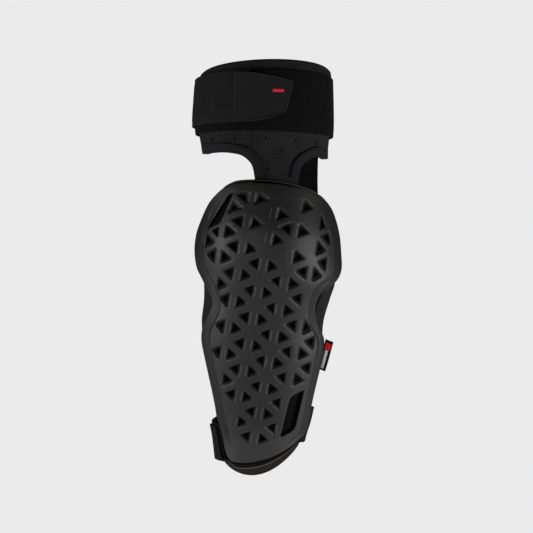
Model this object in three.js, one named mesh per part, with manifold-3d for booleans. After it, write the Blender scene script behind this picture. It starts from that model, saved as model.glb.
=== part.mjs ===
// Elbow and forearm guard, worn pose, right way up on an upright upper arm.
// Millimetres, +Z up, the shell faces -Y, and the origin is on the arm's centre line at the upper strap.
import * as THREE from 'three';
import { mergeVertices } from 'three/addons/utils/BufferGeometryUtils.js';
import Module from 'manifold-3d';

const wasm = await Module();
wasm.setup();
const radians = THREE.MathUtils.degToRad;
const clamp = THREE.MathUtils.clamp;

// The hollow that the arm goes into
const upperArm = { width: 103, depth: 92 };
const elbow = { width: 104, depth: 94 };
const wrist = { width: 57, depth: 52 };
const upperLength = 124; // origin down to the widest line of the elbow
const forearmLength = 190; // from there down to the wrist end
const forearmLean = 46; // how far back the wrist end lies
const forearmShift = 6; // how far left the wrist end lies

// Layers and the clearance between them
const clearance = 0.5;
const facetSag = 0.25; // how far a facet's middle lies inside the round form
const cuffThickness = 3.6;
const wrapThickness = 1.5;
const strapThickness = 1.8;
const tabThickness = 1.8;
const sleeveThickness = 2.4;
const bandThickness = 1.8;
const bindingThickness = 1.3;
const padThickness = 4.8;
const elbowBulge = 7; // how far the pad and shell stand proud over the elbow
const elbowBulgeLength = 48;
const elbowBulgeRise = 6; // how far above the elbow's widest line it peaks
const shellThickness = 2.6;
const forearmStrapThickness = 4;

// Cuff, wrap, strap and tab
const cuffTop = 18.5;
const cuffArch = 8.8; // how much higher the cuff is in front
const cuffSideRise = 1.5; // how much higher it is on the right than in the middle
const cuffBottom = 27;
const wrapTop = 16.3;
const wrapArch = 2.7;
const wrapBottom = 30.5;
const wrapSideDrop = 1.2;
const upperStrapTop = 15.9;
const upperStrapBottom = 23;
const upperStrapStart = -12; // degrees from the front
const upperStrapEnd = -200;
const tabWidth = 48;
const tabHeight = 40;
const tabMiddleHeight = -3.2;
const tabStep = 2.1; // how far the tab drops from the strap's face to the wrap's

// Elbow panel, its bindings, and the band behind the elbow
const panelLength = 51; // from the cuff's lower edge to the bridge's end
const panelHalfAngle = 105;
const bindingWidth = 7.5;
const bandStart = 118; // degrees from the front
const bandEnd = 190;

// Forearm sleeve and hem
const sleeveSideDrop = 30; // how much lower its top edge is at the sides
const sleeveBackDrop = 17; // and how much lower again behind
const sleeveSeam = 100; // degrees from the front to each side seam
const hemBottom = 296;
const hemFrontDrop = 17.5;
const hemSideRise = 6.5;
const hemHeight = 10;

// Shell and pad
const shellTop = 72;
const shellLength = 234.5;
const shellTopArch = 2;
const shellBottomArch = 6;
const rimWidth = 9;
const topRimWidth = 9;
const bottomRimWidth = 15;
const padBindingWidth = 2.2;
const padBindingThickness = 3.6;
const shellColumns = 12;
const shellRows = 26;

// Triangular lattice of the shell
const latticePitch = 21.9;
const latticeLean = 10.6; // degrees that its columns lean
const ribWidth = 7;
const latticeHub = { across: 4, drop: 133.2 }; // one hub, from the shell's top
const latticeSide = { start: 35, shrink: 0.7 }; // the pattern narrows from that far beside the middle
const latticeTop = { start: 46, shrink: 0.915 }; // and shortens above that drop from the shell's top
const smallestHole = 0.3; // share of a whole hole's area
const slotRib = 0.5; // rib between a slot and the lattice, in rib widths

// Forearm strap and side label
const forearmStrapHeight = 31;
const forearmStrapLeft = 285; // its middle at the left end, below the origin
const forearmStrapRight = 271.5;
const forearmStrapEndHeight = 30;
const forearmStrapEndDrop = 1.5;
const forearmStrapEndSpan = 62; // degrees
const labelHeight = 27;
const labelReach = 7.2;
const labelThickness = 1.2;
const labelDrop = 211;

// Cross-sections of the arm. Drop 0 is the origin, 1 the elbow line and 2 the wrist end; width and depth are
// shares of the girth that the row names, side and back are shares of the forearm's shift and lean.
const armSections = [
  { drop: -0.22, girth: upperArm, width: 0.97, depth: 0.98, side: -0.1, back: 0 },
  { drop: 0.0, girth: upperArm, width: 1.0, depth: 1.0, side: -0.23, back: 0 },
  { drop: 0.2, girth: upperArm, width: 1.01, depth: 1.01, side: -0.3, back: 0 },
  { drop: 0.4, girth: upperArm, width: 0.95, depth: 1.0, side: -0.15, back: 0 },
  { drop: 0.65, girth: elbow, width: 0.925, depth: 0.98, side: 0.0, back: 0.02 },
  { drop: 1.0, girth: elbow, width: 1.0, depth: 1.0, side: 0.13, back: 0.13 },
  { drop: 1.14, girth: elbow, width: 1.01, depth: 0.98, side: 0.42, back: 0.25 },
  { drop: 1.22, girth: elbow, width: 0.97, depth: 0.94, side: 0.05, back: 0.33 },
  { drop: 1.32, girth: elbow, width: 0.94, depth: 0.9, side: -0.55, back: 0.41 },
  { drop: 1.46, girth: elbow, width: 0.9, depth: 0.85, side: -0.5, back: 0.53 },
  { drop: 1.66, girth: wrist, width: 1.37, depth: 1.33, side: -0.62, back: 0.71 },
  { drop: 1.77, girth: wrist, width: 1.24, depth: 1.21, side: -0.74, back: 0.81 },
  { drop: 1.83, girth: wrist, width: 1.14, depth: 1.12, side: -0.85, back: 0.86 },
  { drop: 1.93, girth: wrist, width: 1.035, depth: 1.04, side: -1.0, back: 0.94 },
  { drop: 2.02, girth: wrist, width: 0.98, depth: 1.0, side: -1.03, back: 1.02 },
];

// Chords across the shell, from its top edge to its bottom edge. Drops are shares of the shell's length, and
// left and right are shares of the arm's half width there, taken at the shell's face.
const shellChords = [
  { leftDrop: 0.001, left: -0.43, rightDrop: 0.0165, right: 0.44 },
  { leftDrop: 0.015, left: -0.573, rightDrop: 0.034, right: 0.689 },
  { leftDrop: 0.038, left: -0.678, rightDrop: 0.055, right: 0.79 },
  { leftDrop: 0.066, left: -0.772, rightDrop: 0.084, right: 0.875 },
  { leftDrop: 0.129, left: -0.877, rightDrop: 0.128, right: 0.931 },
  { leftDrop: 0.173, left: -0.929, rightDrop: 0.173, right: 0.958 },
  { leftDrop: 0.229, left: -0.945, rightDrop: 0.228, right: 0.955 },
  { leftDrop: 0.288, left: -0.925, rightDrop: 0.288, right: 0.938 },
  { leftDrop: 0.321, left: -0.869, rightDrop: 0.329, right: 0.871 },
  { leftDrop: 0.347, left: -0.825, rightDrop: 0.347, right: 0.8 },
  { leftDrop: 0.378, left: -0.761, rightDrop: 0.365, right: 0.71 },
  { leftDrop: 0.405, left: -0.727, rightDrop: 0.387, right: 0.665 },
  { leftDrop: 0.437, left: -0.74, rightDrop: 0.419, right: 0.665 },
  { leftDrop: 0.472, left: -0.795, rightDrop: 0.468, right: 0.736 },
  { leftDrop: 0.503, left: -0.848, rightDrop: 0.502, right: 0.816 },
  { leftDrop: 0.548, left: -0.872, rightDrop: 0.53, right: 0.872 },
  { leftDrop: 0.608, left: -0.858, rightDrop: 0.57, right: 0.885 },
  { leftDrop: 0.69, left: -0.843, rightDrop: 0.66, right: 0.875 },
  { leftDrop: 0.8, left: -0.816, rightDrop: 0.78, right: 0.873 },
  { leftDrop: 0.877, left: -0.769, rightDrop: 0.86, right: 0.873 },
  { leftDrop: 0.94, left: -0.732, rightDrop: 0.892, right: 0.856 },
  { leftDrop: 0.973, left: -0.679, rightDrop: 0.905, right: 0.82 },
  { leftDrop: 0.992, left: -0.577, rightDrop: 0.915, right: 0.758 },
];

// Width of the plain rim beside the lattice, in shares of the rim width, down the shell
const shellRims = [
  { drop: 0.0, left: 1.0, right: 1.5 },
  { drop: 0.12, left: 0.9, right: 1.4 },
  { drop: 0.25, left: 0.9, right: 1.1 },
  { drop: 0.68, left: 0.95, right: 1.0 },
  { drop: 0.8, left: 1.35, right: 0.95 },
  { drop: 0.95, left: 1.9, right: 0.95 },
];

// The two long slots: corners from the shell's top middle, in shares of the elbow's half width and the
// shell's length
const upperSlot = [
  { across: -0.499, drop: 0.03 },
  { across: -0.582, drop: 0.041 },
  { across: -0.915, drop: 0.153 },
  { across: -0.706, drop: 0.131 },
  { across: -0.663, drop: 0.11 },
];
const lowerSlot = [
  { across: 0.585, drop: 0.72 },
  { across: 0.39, drop: 0.739 },
  { across: 0.35, drop: 0.757 },
  { across: 0.21, drop: 0.89 },
  { across: 0.4, drop: 0.868 },
  { across: 0.45, drop: 0.854 },
];

// Cells of the lattice that stay closed, by their middles: shares as for the slots
const closedCells = [
  { across: 0.385, drop: 0.068 },
  { across: -0.02, drop: 0.098 },
  { across: 0.673, drop: 0.124 },
  { across: -0.096, drop: 0.183 },
  { across: 0.615, drop: 0.213 },
  { across: 0.23, drop: 0.243 },
  { across: -0.92, drop: 0.281 },
  { across: -0.81, drop: 0.529 },
];

// Lower edge of the elbow panel from its left end to its right end: the left wing, the bridge and the right
// wing. Across is a share of its half angle, and drop of its length.
const panelLowerEdge = [
  { across: -1.0, drop: 0.2 },
  { across: -0.92, drop: 0.28 },
  { across: -0.7, drop: 0.365 },
  { across: -0.55, drop: 0.365 },
  { across: -0.4, drop: 0.37 },
  { across: -0.296, drop: 0.392 },
  { across: -0.207, drop: 0.43 },
  { across: -0.147, drop: 0.51 },
  { across: -0.114, drop: 0.605 },
  { across: -0.098, drop: 0.77 },
  { across: -0.09, drop: 1.0 },
  { across: 0.0, drop: 1.0 },
  { across: 0.1, drop: 1.0 },
  { across: 0.19, drop: 1.0 },
  { across: 0.286, drop: 1.0 },
  { across: 0.289, drop: 0.85 },
  { across: 0.298, drop: 0.71 },
  { across: 0.33, drop: 0.58 },
  { across: 0.41, drop: 0.48 },
  { across: 0.525, drop: 0.42 },
  { across: 0.68, drop: 0.45 },
  { across: 0.92, drop: 0.31 },
  { across: 1.0, drop: 0.22 },
];
const bindingSpans = { left: [1.9, 9.1], right: [15.4, 20.2] }; // between which of those rows each tape runs

// Chords across the pull tab, from its top edge to its bottom edge, in shares of its width and height
const tabChords = [
  { leftDrop: 0.0, left: -0.5, rightDrop: 0.18, right: 0.46 },
  { leftDrop: 0.04, left: -0.515, rightDrop: 0.22, right: 0.485 },
  { leftDrop: 0.5, left: -0.5, rightDrop: 0.5, right: 0.43 },
  { leftDrop: 0.95, left: -0.485, rightDrop: 0.77, right: 0.37 },
  { leftDrop: 0.985, left: -0.46, rightDrop: 0.84, right: 0.3 },
];
const tabTopArch = 1.6;
const tabBottomArch = 2.6;

for (const chords of [shellChords, panelLowerEdge, tabChords]) {
  chords.forEach((row, index) => {
    row.at = index / (chords.length - 1);
  });
}

// Value of a column between the rows of a table, on a smooth curve through them
function sample(table, key, at, value) {
  const last = table.length - 1;
  const read = typeof value === 'function' ? value : (row) => row[value];
  const place = clamp(at, table[0][key], table[last][key]);
  const upper = clamp(table.findIndex((row) => row[key] >= place), 1, last);
  const [before, after] = [table[upper - 1], table[upper]];
  const slope = (index) => {
    const [low, high] = [table[Math.max(index - 1, 0)], table[Math.min(index + 1, last)]];
    return (read(high) - read(low)) / (high[key] - low[key]);
  };
  const step = after[key] - before[key];
  const t = (place - before[key]) / step;
  const [start, end] = [slope(upper - 1) * step, slope(upper) * step];
  const rise = read(after) - read(before);
  return read(before) + t * (start + t * (3 * rise - 2 * start - end + t * (start + end - 2 * rise)));
}

// Centre and half sizes of the arm at a height
function armAt(z) {
  const drop = -z <= upperLength ? -z / upperLength : 1 + (-z - upperLength) / forearmLength;
  return {
    x: sample(armSections, 'drop', drop, 'side') * forearmShift,
    y: sample(armSections, 'drop', drop, 'back') * forearmLean,
    halfWidth: sample(armSections, 'drop', drop, (row) => row.width * row.girth.width) / 2,
    halfDepth: sample(armSections, 'drop', drop, (row) => row.depth * row.girth.depth) / 2,
  };
}

// Point on a layer round the arm: the angle is 0 in front and grows to the right, the lift is off the skin
function onArm(angle, z, lift) {
  const arm = armAt(z);
  const x = arm.x + (arm.halfWidth + lift) * Math.sin(angle);
  return new THREE.Vector3(x, arm.y - (arm.halfDepth + lift) * Math.cos(angle), z);
}

// Closed slab between two lifts over a grid of places; a ring's last column meets its first
function slab(place, lifts, columns, rows, ring = false) {
  const positions = [];
  const stride = ring ? columns : columns + 1;
  for (const lift of lifts) {
    for (let row = 0; row <= rows; row += 1) {
      for (let column = 0; column < stride; column += 1) {
        const { angle, z } = place(column / columns, row / rows);
        const height = typeof lift === 'function' ? lift(angle, z, column / columns, row / rows) : lift;
        positions.push(...onArm(angle, z, height).toArray());
      }
    }
  }
  const layer = stride * (rows + 1);
  const vertex = (side, row, column) => side * layer + row * stride + (column % stride);
  const faces = [];
  const quad = (a, b, c, d) => faces.push(a, b, c, a, c, d);
  for (let row = 0; row < rows; row += 1) {
    for (let column = 0; column < columns; column += 1) {
      const [next, below] = [column + 1, row + 1];
      quad(vertex(0, row, column), vertex(0, row, next), vertex(0, below, next), vertex(0, below, column));
      quad(vertex(1, row, column), vertex(1, below, column), vertex(1, below, next), vertex(1, row, next));
    }
  }
  for (let column = 0; column < columns; column += 1) {
    const next = column + 1;
    quad(vertex(0, 0, column), vertex(1, 0, column), vertex(1, 0, next), vertex(0, 0, next));
    quad(vertex(0, rows, next), vertex(1, rows, next), vertex(1, rows, column), vertex(0, rows, column));
  }
  for (let row = 0; row < rows && !ring; row += 1) {
    const below = row + 1;
    quad(vertex(0, below, 0), vertex(1, below, 0), vertex(1, row, 0), vertex(0, row, 0));
    const last = columns;
    quad(vertex(0, row, last), vertex(1, row, last), vertex(1, below, last), vertex(0, below, last));
  }
  const geometry = new THREE.BufferGeometry();
  geometry.setAttribute('position', new THREE.Float32BufferAttribute(positions, 3));
  geometry.setIndex(faces);
  return facingOut(geometry);
}

// Turns the faces round when the enclosed volume comes out negative
function facingOut(geometry) {
  const points = geometry.getAttribute('position');
  const order = geometry.getIndex();
  const corner = (index) => new THREE.Vector3().fromBufferAttribute(points, order.getX(index));
  let volume = 0;
  for (let face = 0; face < order.count; face += 3) {
    volume += corner(face).dot(corner(face + 1).cross(corner(face + 2)));
  }
  if (volume < 0) {
    for (let face = 0; face < order.count; face += 3) {
      const second = order.getX(face + 1);
      order.setX(face + 1, order.getX(face + 2));
      order.setX(face + 2, second);
    }
  }
  geometry.computeVertexNormals();
  return geometry;
}

// Places on a piece that is given by chords: across runs from the left edge to the right one, down from the
// first chord to the last, and the two arches bow those out
function chordPlace(chords, edges, topArch, bottomArch) {
  return (across, down) => {
    const [left, right] = edges(sample.bind(null, chords, 'at', down));
    const bow = 4 * across * (1 - across);
    const arch = topArch * clamp(1 - 5 * down, 0, 1) ** 2 - bottomArch * clamp(5 * down - 4, 0, 1) ** 2;
    return {
      angle: THREE.MathUtils.lerp(left.angle, right.angle, across),
      z: THREE.MathUtils.lerp(left.z, right.z, across) + bow * arch,
    };
  };
}

function toSolid(geometry) {
  const plain = geometry.clone();
  plain.deleteAttribute('normal');
  plain.deleteAttribute('uv');
  const merged = mergeVertices(plain, 1e-4);
  return new wasm.Manifold(
    new wasm.Mesh({
      numProp: 3,
      vertProperties: new Float32Array(merged.getAttribute('position').array),
      triVerts: new Uint32Array(merged.getIndex().array),
    }),
  );
}

function toGeometry(solid) {
  const mesh = solid.getMesh();
  const geometry = new THREE.BufferGeometry();
  geometry.setAttribute('position', new THREE.Float32BufferAttribute(mesh.vertProperties, 3));
  geometry.setIndex(new THREE.Uint32BufferAttribute(mesh.triVerts, 1));
  geometry.computeVertexNormals();
  return geometry;
}

// Lifts of the layers, from the skin outwards
const wrapLift = cuffThickness + clearance;
const strapLift = wrapLift + wrapThickness + clearance;
const tabLift = strapLift + strapThickness + clearance;
const padLift = sleeveThickness + clearance + facetSag;
const shellLift = padLift + padThickness + clearance;
const shellFace = shellLift + shellThickness;

// How far the pad and the shell stand proud over the elbow
function bulge(angle, z) {
  const above = z + upperLength - elbowBulgeRise;
  return elbowBulge * Math.exp(-((above / elbowBulgeLength) ** 2)) * Math.cos(angle) ** 2;
}

const front = (angle) => Math.max(0, Math.cos(angle));
const turn = (across) => radians(360 * across - 180);

// Ring between two heights that may change round the arm
function ring(top, bottom, lifts, columns, rows) {
  const place = (across, down) => {
    const angle = turn(across);
    return { angle, z: THREE.MathUtils.lerp(top(angle), bottom(angle), down) };
  };
  return slab(place, lifts, columns, rows, true);
}

function makeCuff() {
  const top = (angle) => cuffTop + cuffArch * front(angle) ** 0.7 + cuffSideRise * Math.sin(angle);
  return ring(top, () => -cuffBottom, [0, cuffThickness], 36, 4);
}

function makeWrap() {
  const top = (angle) => wrapTop + wrapArch * front(angle);
  const bottom = (angle) => -wrapBottom - wrapSideDrop * Math.sin(angle);
  return ring(top, bottom, [wrapLift, wrapLift + wrapThickness], 36, 4);
}

function makeUpperStrap() {
  const place = (across, down) => {
    const angle = radians(THREE.MathUtils.lerp(upperStrapStart, upperStrapEnd, across));
    const top = upperStrapTop + wrapArch * front(angle);
    return { angle, z: THREE.MathUtils.lerp(top, -upperStrapBottom, down) };
  };
  return slab(place, [strapLift, strapLift + strapThickness], 22, 3);
}

// The tab lies on the strap's end at its left and steps down to the wrap at its right
function makeTab() {
  const reach = upperArm.width / 2 + tabLift;
  const edges = (at) => {
    const side = (name) => ({
      angle: Math.asin((at(name) * tabWidth) / reach),
      z: tabMiddleHeight + tabHeight * (0.5 - at(`${name}Drop`)),
    });
    return [side('left'), side('right')];
  };
  const strapEdge = radians(upperStrapStart);
  const sunk = (angle) => tabStep * THREE.MathUtils.smoothstep(angle, strapEdge + 0.05, strapEdge + 0.22);
  const lifts = [(angle) => tabLift - sunk(angle), (angle) => tabLift + tabThickness - sunk(angle)];
  return slab(chordPlace(tabChords, edges, tabTopArch, tabBottomArch), lifts, 10, 4);
}

const panelTop = -cuffBottom - clearance;

// Point on the panel's lower edge, counted in rows of its table
function panelEdge(row) {
  const share = row / (panelLowerEdge.length - 1);
  const [across, drop] = ['across', 'drop'].map((column) => sample(panelLowerEdge, 'at', share, column));
  return { angle: radians(across * panelHalfAngle), z: panelTop - panelLength * drop };
}

function makePanel() {
  const lastRow = panelLowerEdge.length - 1;
  const place = (across, down) => {
    const edge = panelEdge(across * lastRow);
    return { angle: edge.angle, z: THREE.MathUtils.lerp(panelTop, edge.z, down) };
  };
  return slab(place, [0, sleeveThickness], 2 * lastRow, 4);
}

// Tape that lies along one cut-out, from the panel's lower edge inwards
function makeBinding([from, to]) {
  const reach = elbow.width / 2;
  const place = (inwards, onwards) => {
    const row = THREE.MathUtils.lerp(from, to, onwards);
    const [behind, here, ahead] = [-0.3, 0, 0.3].map((step) => panelEdge(row + step));
    const along = new THREE.Vector2((ahead.angle - behind.angle) * reach, ahead.z - behind.z).normalize();
    return {
      angle: here.angle - (along.y * inwards * bindingWidth) / reach,
      z: here.z + along.x * inwards * bindingWidth,
    };
  };
  const lift = sleeveThickness + clearance;
  return slab(place, [lift, lift + bindingThickness], 2, 16);
}

function sleeveTop(angle) {
  const side = Math.sin(clamp(Math.abs(angle), 0, Math.PI / 2)) ** 2;
  const behind = Math.max(0, -Math.cos(angle));
  return panelTop - panelLength - clearance - sleeveSideDrop * side - sleeveBackDrop * behind;
}

function hemEdge(angle) {
  return -hemBottom - hemFrontDrop * front(angle) ** 1.5 + hemSideRise * Math.sin(angle);
}

function makeBackBand() {
  const place = (across, down) => {
    const angle = radians(THREE.MathUtils.lerp(bandStart, bandEnd, across));
    const wrapped = angle > Math.PI ? angle - 2 * Math.PI : angle;
    return { angle, z: THREE.MathUtils.lerp(panelTop, sleeveTop(wrapped) + clearance, down) };
  };
  return slab(place, [0, bandThickness], 6, 6);
}

// Part of the sleeve between two seams, given in degrees from the front
function makeSleeve(from, to) {
  const seamGap = clearance / elbow.depth;
  const place = (across, down) => {
    const angle = THREE.MathUtils.lerp(radians(from) + seamGap, radians(to) - seamGap, across);
    return { angle, z: THREE.MathUtils.lerp(sleeveTop(angle), hemEdge(angle) + hemHeight + clearance, down) };
  };
  return slab(place, [0, sleeveThickness], 20, 9);
}

function makeHem() {
  return ring((angle) => hemEdge(angle) + hemHeight, hemEdge, [0, sleeveThickness], 36, 1);
}

function shellEdges(at) {
  const side = (name) => ({
    angle: Math.asin(at(name)),
    z: -shellTop - shellLength * at(`${name}Drop`),
  });
  return [side('left'), side('right')];
}

const shellPlace = chordPlace(shellChords, shellEdges, shellTopArch, shellBottomArch);

function makePad() {
  const lifts = [padLift, (angle, z) => padLift + padThickness + bulge(angle, z)];
  return slab(shellPlace, lifts, shellColumns, shellRows);
}

// Piping just outside the pad's edge: round the shell's outline, down its left side first
function makePadBinding() {
  const reach = elbow.width / 2 + padLift;
  const steps = 2 * (shellRows + shellColumns);
  const outline = (share) => {
    const lap = (share + 1) % 1;
    const sides = [
      { until: shellRows / steps, at: (t) => shellPlace(0, t) },
      { until: 0.5, at: (t) => shellPlace(t, 1) },
      { until: 0.5 + shellRows / steps, at: (t) => shellPlace(1, 1 - t) },
      { until: 1.0, at: (t) => shellPlace(1 - t, 0) },
    ];
    const index = sides.findIndex((side) => lap < side.until);
    const start = index > 0 ? sides[index - 1].until : 0;
    return sides[index].at((lap - start) / (sides[index].until - start));
  };
  const place = (around, outward) => {
    const [behind, here, ahead] = [-0.4, 0, 0.4].map((step) => outline(around + step / steps));
    const along = new THREE.Vector2((ahead.angle - behind.angle) * reach, ahead.z - behind.z).normalize();
    const distance = clearance + outward * padBindingWidth;
    return {
      angle: here.angle + (along.y * distance) / reach,
      z: here.z - along.x * distance,
    };
  };
  return slab(place, [padLift, padLift + padBindingThickness], steps, 1, true);
}

// Line that bounds the lattice near a point, as a point on it and the direction that is kept
function keepLine(points, distance, inside) {
  const along = points[1].clone().sub(points[0]).normalize();
  const normal = new THREE.Vector2(-along.y, along.x);
  const middle = points[0].clone().add(points[1]).multiplyScalar(0.5);
  if (normal.dot(inside.clone().sub(middle)) < 0) normal.negate();
  return { point: middle.addScaledVector(normal, distance), normal };
}

// Front view of a place on the shell's face
function seenFromFront({ angle, z }) {
  return new THREE.Vector2(onArm(angle, z, shellFace + bulge(angle, z)).x, z);
}

function latticeBounds(center) {
  const drop = clamp((-shellTop - center.y) / shellLength, 0.01, 0.99);
  const middle = new THREE.Vector2(0, center.y);
  const sideLine = (name) => {
    const at = (share) => {
      const angle = Math.asin(sample(shellChords, `${name}Drop`, share, name));
      return seenFromFront({ angle, z: -shellTop - shellLength * share });
    };
    const rim = rimWidth * sample(shellRims, 'drop', drop, name);
    return keepLine([at(drop - 0.01), at(drop + 0.01)], rim, middle);
  };
  const endLine = (down, rim) =>
    keepLine([seenFromFront(shellPlace(0.3, down)), seenFromFront(shellPlace(0.7, down))], rim, center);
  return [sideLine('left'), sideLine('right'), endLine(0, topRimWidth), endLine(1, bottomRimWidth)];
}

// Places on the shell in the front view from shares of the elbow's half width and of the shell's length
function frontPlaces(places) {
  return places.map(
    ({ across, drop }) => new THREE.Vector2((across * elbow.width) / 2, -shellTop - shellLength * drop),
  );
}

const slots = [upperSlot, lowerSlot].map(frontPlaces);
const closed = frontPlaces(closedCells);

function middleOf(points) {
  return points.reduce((sum, point) => sum.add(point), new THREE.Vector2()).divideScalar(points.length);
}

// Nearest side of a slot, moved off it by a rib, as a line that bounds the lattice
function slotBound(outline, center) {
  const lines = outline.map((point, index) => {
    const line = keepLine([point, outline[(index + 1) % outline.length]], 0, middleOf(outline));
    line.point.addScaledVector(line.normal, -slotRib * ribWidth);
    line.normal.negate();
    return line;
  });
  const gap = (line) => center.clone().sub(line.point).dot(line.normal);
  return lines.reduce((best, line) => (gap(line) > gap(best) ? line : best));
}

// What is left of a convex outline on the kept side of a line
function clip(outline, { point, normal }) {
  const kept = [];
  outline.forEach((corner, index) => {
    const next = outline[(index + 1) % outline.length];
    const [here, there] = [corner, next].map((each) => each.clone().sub(point).dot(normal));
    if (here >= 0) kept.push(corner);
    if (here >= 0 !== there >= 0) kept.push(corner.clone().lerp(next, here / (here - there)));
  });
  return kept;
}

// Draws the pattern together beside the front and above the elbow, where the shell curves away
function drawnTogether(point) {
  const past = Math.max(0, Math.abs(point.x) - latticeSide.start);
  const above = Math.max(0, point.y + shellTop + latticeTop.start);
  return new THREE.Vector2(
    point.x - Math.sign(point.x) * past * (1 - latticeSide.shrink),
    point.y - above * (1 - latticeTop.shrink),
  );
}

// Outlines of the lattice's holes in the front view
function latticeHoles() {
  const lean = radians(latticeLean);
  const down = new THREE.Vector2(-Math.sin(lean), -Math.cos(lean)).multiplyScalar(latticePitch);
  const across = down.clone().rotateAround(new THREE.Vector2(), radians(60));
  const hub = new THREE.Vector2(latticeHub.across, -shellTop - latticeHub.drop);
  const holeSide = latticePitch - Math.sqrt(3) * ribWidth;
  const wholeArea = (Math.sqrt(3) / 4) * holeSide ** 2;
  const steps = Math.ceil(shellLength / latticePitch);
  const holes = [];
  for (let i = -steps; i <= steps; i += 1) {
    for (let j = -steps; j <= steps; j += 1) {
      const node = hub.clone().addScaledVector(down, i).addScaledVector(across, j);
      const far = node.clone().add(down).add(across);
      for (const corner of [node, far]) {
        const cell = [corner, node.clone().add(down), node.clone().add(across)].map(drawnTogether);
        const center = middleOf(cell);
        const whole = cell.map((each) => center.clone().lerp(each, holeSide / latticePitch));
        const bounds = [...latticeBounds(center), ...slots.map((slot) => slotBound(slot, center))];
        const outline = bounds.reduce(clip, whole);
        const isOpen = closed.every((middle) => middle.distanceTo(center) > ribWidth / 2);
        const area = outline.length > 2 ? Math.abs(THREE.ShapeUtils.area(outline)) : 0;
        if (isOpen && area > smallestHole * wholeArea) holes.push(outline);
      }
    }
  }
  return holes;
}

// Prism through the shell from front to back with the given outline in the front view
function cutter(outline) {
  const depth = 2 * (elbow.depth + forearmLean);
  const geometry = new THREE.ExtrudeGeometry(new THREE.Shape(outline), { depth, bevelEnabled: false });
  geometry.rotateX(Math.PI / 2);
  geometry.translate(0, depth / 2, 0);
  return toSolid(geometry);
}

function makeShell() {
  const lifts = [(angle, z) => shellLift + bulge(angle, z), (angle, z) => shellFace + bulge(angle, z)];
  const cuts = [...latticeHoles(), ...slots].map(cutter).reduce((joined, cut) => joined.add(cut));
  return toGeometry(toSolid(slab(shellPlace, lifts, shellColumns, shellRows)).subtract(cuts));
}

// Angle of the shell's edge at a height, moved outwards past the piping
function besidePad(name, z) {
  const share = (-shellTop - z) / shellLength;
  const outward = name === 'left' ? -1 : 1;
  const past = 1.25 * (padBindingWidth + 4 * clearance);
  const edge = Math.asin(sample(shellChords, `${name}Drop`, share, name));
  return edge + (outward * past) / armAt(z).halfWidth;
}

function makeForearmStrap() {
  const place = (across, down) => {
    const drop = forearmStrapHeight * (down - 0.5);
    const z = -THREE.MathUtils.lerp(forearmStrapLeft, forearmStrapRight, across) - drop;
    const [left, right] = [besidePad('left', z), besidePad('right', z)];
    return { angle: THREE.MathUtils.lerp(left, right - 2 * Math.PI, across), z };
  };
  return slab(place, [padLift, padLift + forearmStrapThickness], 22, 2);
}

function makeForearmStrapEnd() {
  const lift = padLift + forearmStrapThickness + clearance;
  const place = (across, down) => {
    const z = -forearmStrapLeft - forearmStrapEndDrop - forearmStrapEndHeight * (down - 0.5);
    return { angle: besidePad('left', z) - radians(2 + forearmStrapEndSpan * across), z };
  };
  return slab(place, [lift, lift + bandThickness], 8, 3);
}

// The label stands straight out from the piping
function labelMesh() {
  const top = -labelDrop + labelHeight / 2;
  const foot = padLift + padBindingThickness + clearance;
  const edge = (z) => {
    const share = (-shellTop - z) / shellLength;
    const past = clearance + 0.75 * padBindingWidth;
    return Math.asin(sample(shellChords, 'rightDrop', share, 'right')) + past / armAt(z).halfWidth;
  };
  const high = onArm(edge(top), top, foot);
  const low = onArm(edge(top - labelHeight), top - labelHeight, foot);
  const out = onArm(edge(-labelDrop), -labelDrop, foot + 1).sub(onArm(edge(-labelDrop), -labelDrop, foot));
  const up = high.clone().sub(low).normalize();
  const through = up.clone().cross(out).normalize();
  const reach = through.clone().cross(up).normalize();
  const geometry = new THREE.BoxGeometry(labelReach, labelThickness, labelHeight);
  geometry.applyMatrix4(new THREE.Matrix4().makeBasis(reach, through, up));
  const center = high.add(low).multiplyScalar(0.5).addScaledVector(reach, labelReach / 2 + 2 * clearance);
  geometry.translate(center.x, center.y, center.z);
  return geometry;
}

const materials = {
  knit: { color: 0x232326, roughness: 0.9, metalness: 0 },
  jersey: { color: 0x1d1d20, roughness: 0.85, metalness: 0 },
  loop: { color: 0x0d0d0e, roughness: 1, metalness: 0 },
  elastic: { color: 0x2a2a2d, roughness: 0.8, metalness: 0 },
  rubber: { color: 0x323235, roughness: 0.55, metalness: 0 },
  tape: { color: 0x1a1a1c, roughness: 0.85, metalness: 0 },
  foam: { color: 0x141416, roughness: 0.95, metalness: 0 },
  shell: { color: 0x3a3a3e, roughness: 0.5, metalness: 0 },
};

const guard = new THREE.Group();

function addPiece(name, geometry, finish) {
  const mesh = new THREE.Mesh(geometry, new THREE.MeshStandardMaterial(materials[finish]));
  mesh.name = name;
  guard.add(mesh);
}

addPiece('arm_cuff', makeCuff(), 'jersey');
addPiece('loop_wrap', makeWrap(), 'loop');
addPiece('upper_strap', makeUpperStrap(), 'elastic');
addPiece('pull_tab', makeTab(), 'rubber');
addPiece('elbow_panel', makePanel(), 'knit');
addPiece('left_binding', makeBinding(bindingSpans.left), 'tape');
addPiece('right_binding', makeBinding(bindingSpans.right), 'tape');
addPiece('back_band', makeBackBand(), 'elastic');
addPiece('sleeve_front', makeSleeve(-sleeveSeam, sleeveSeam), 'knit');
addPiece('forearm_sleeve', makeSleeve(sleeveSeam, 360 - sleeveSeam), 'knit');
addPiece('sleeve_hem', makeHem(), 'jersey');
addPiece('foam_pad', makePad(), 'foam');
addPiece('pad_binding', makePadBinding(), 'tape');
addPiece('shell', makeShell(), 'shell');
addPiece('forearm_strap', makeForearmStrap(), 'elastic');
addPiece('forearm_strap_end', makeForearmStrapEnd(), 'elastic');
addPiece('side_label', labelMesh(), 'tape');

export default guard;
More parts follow.
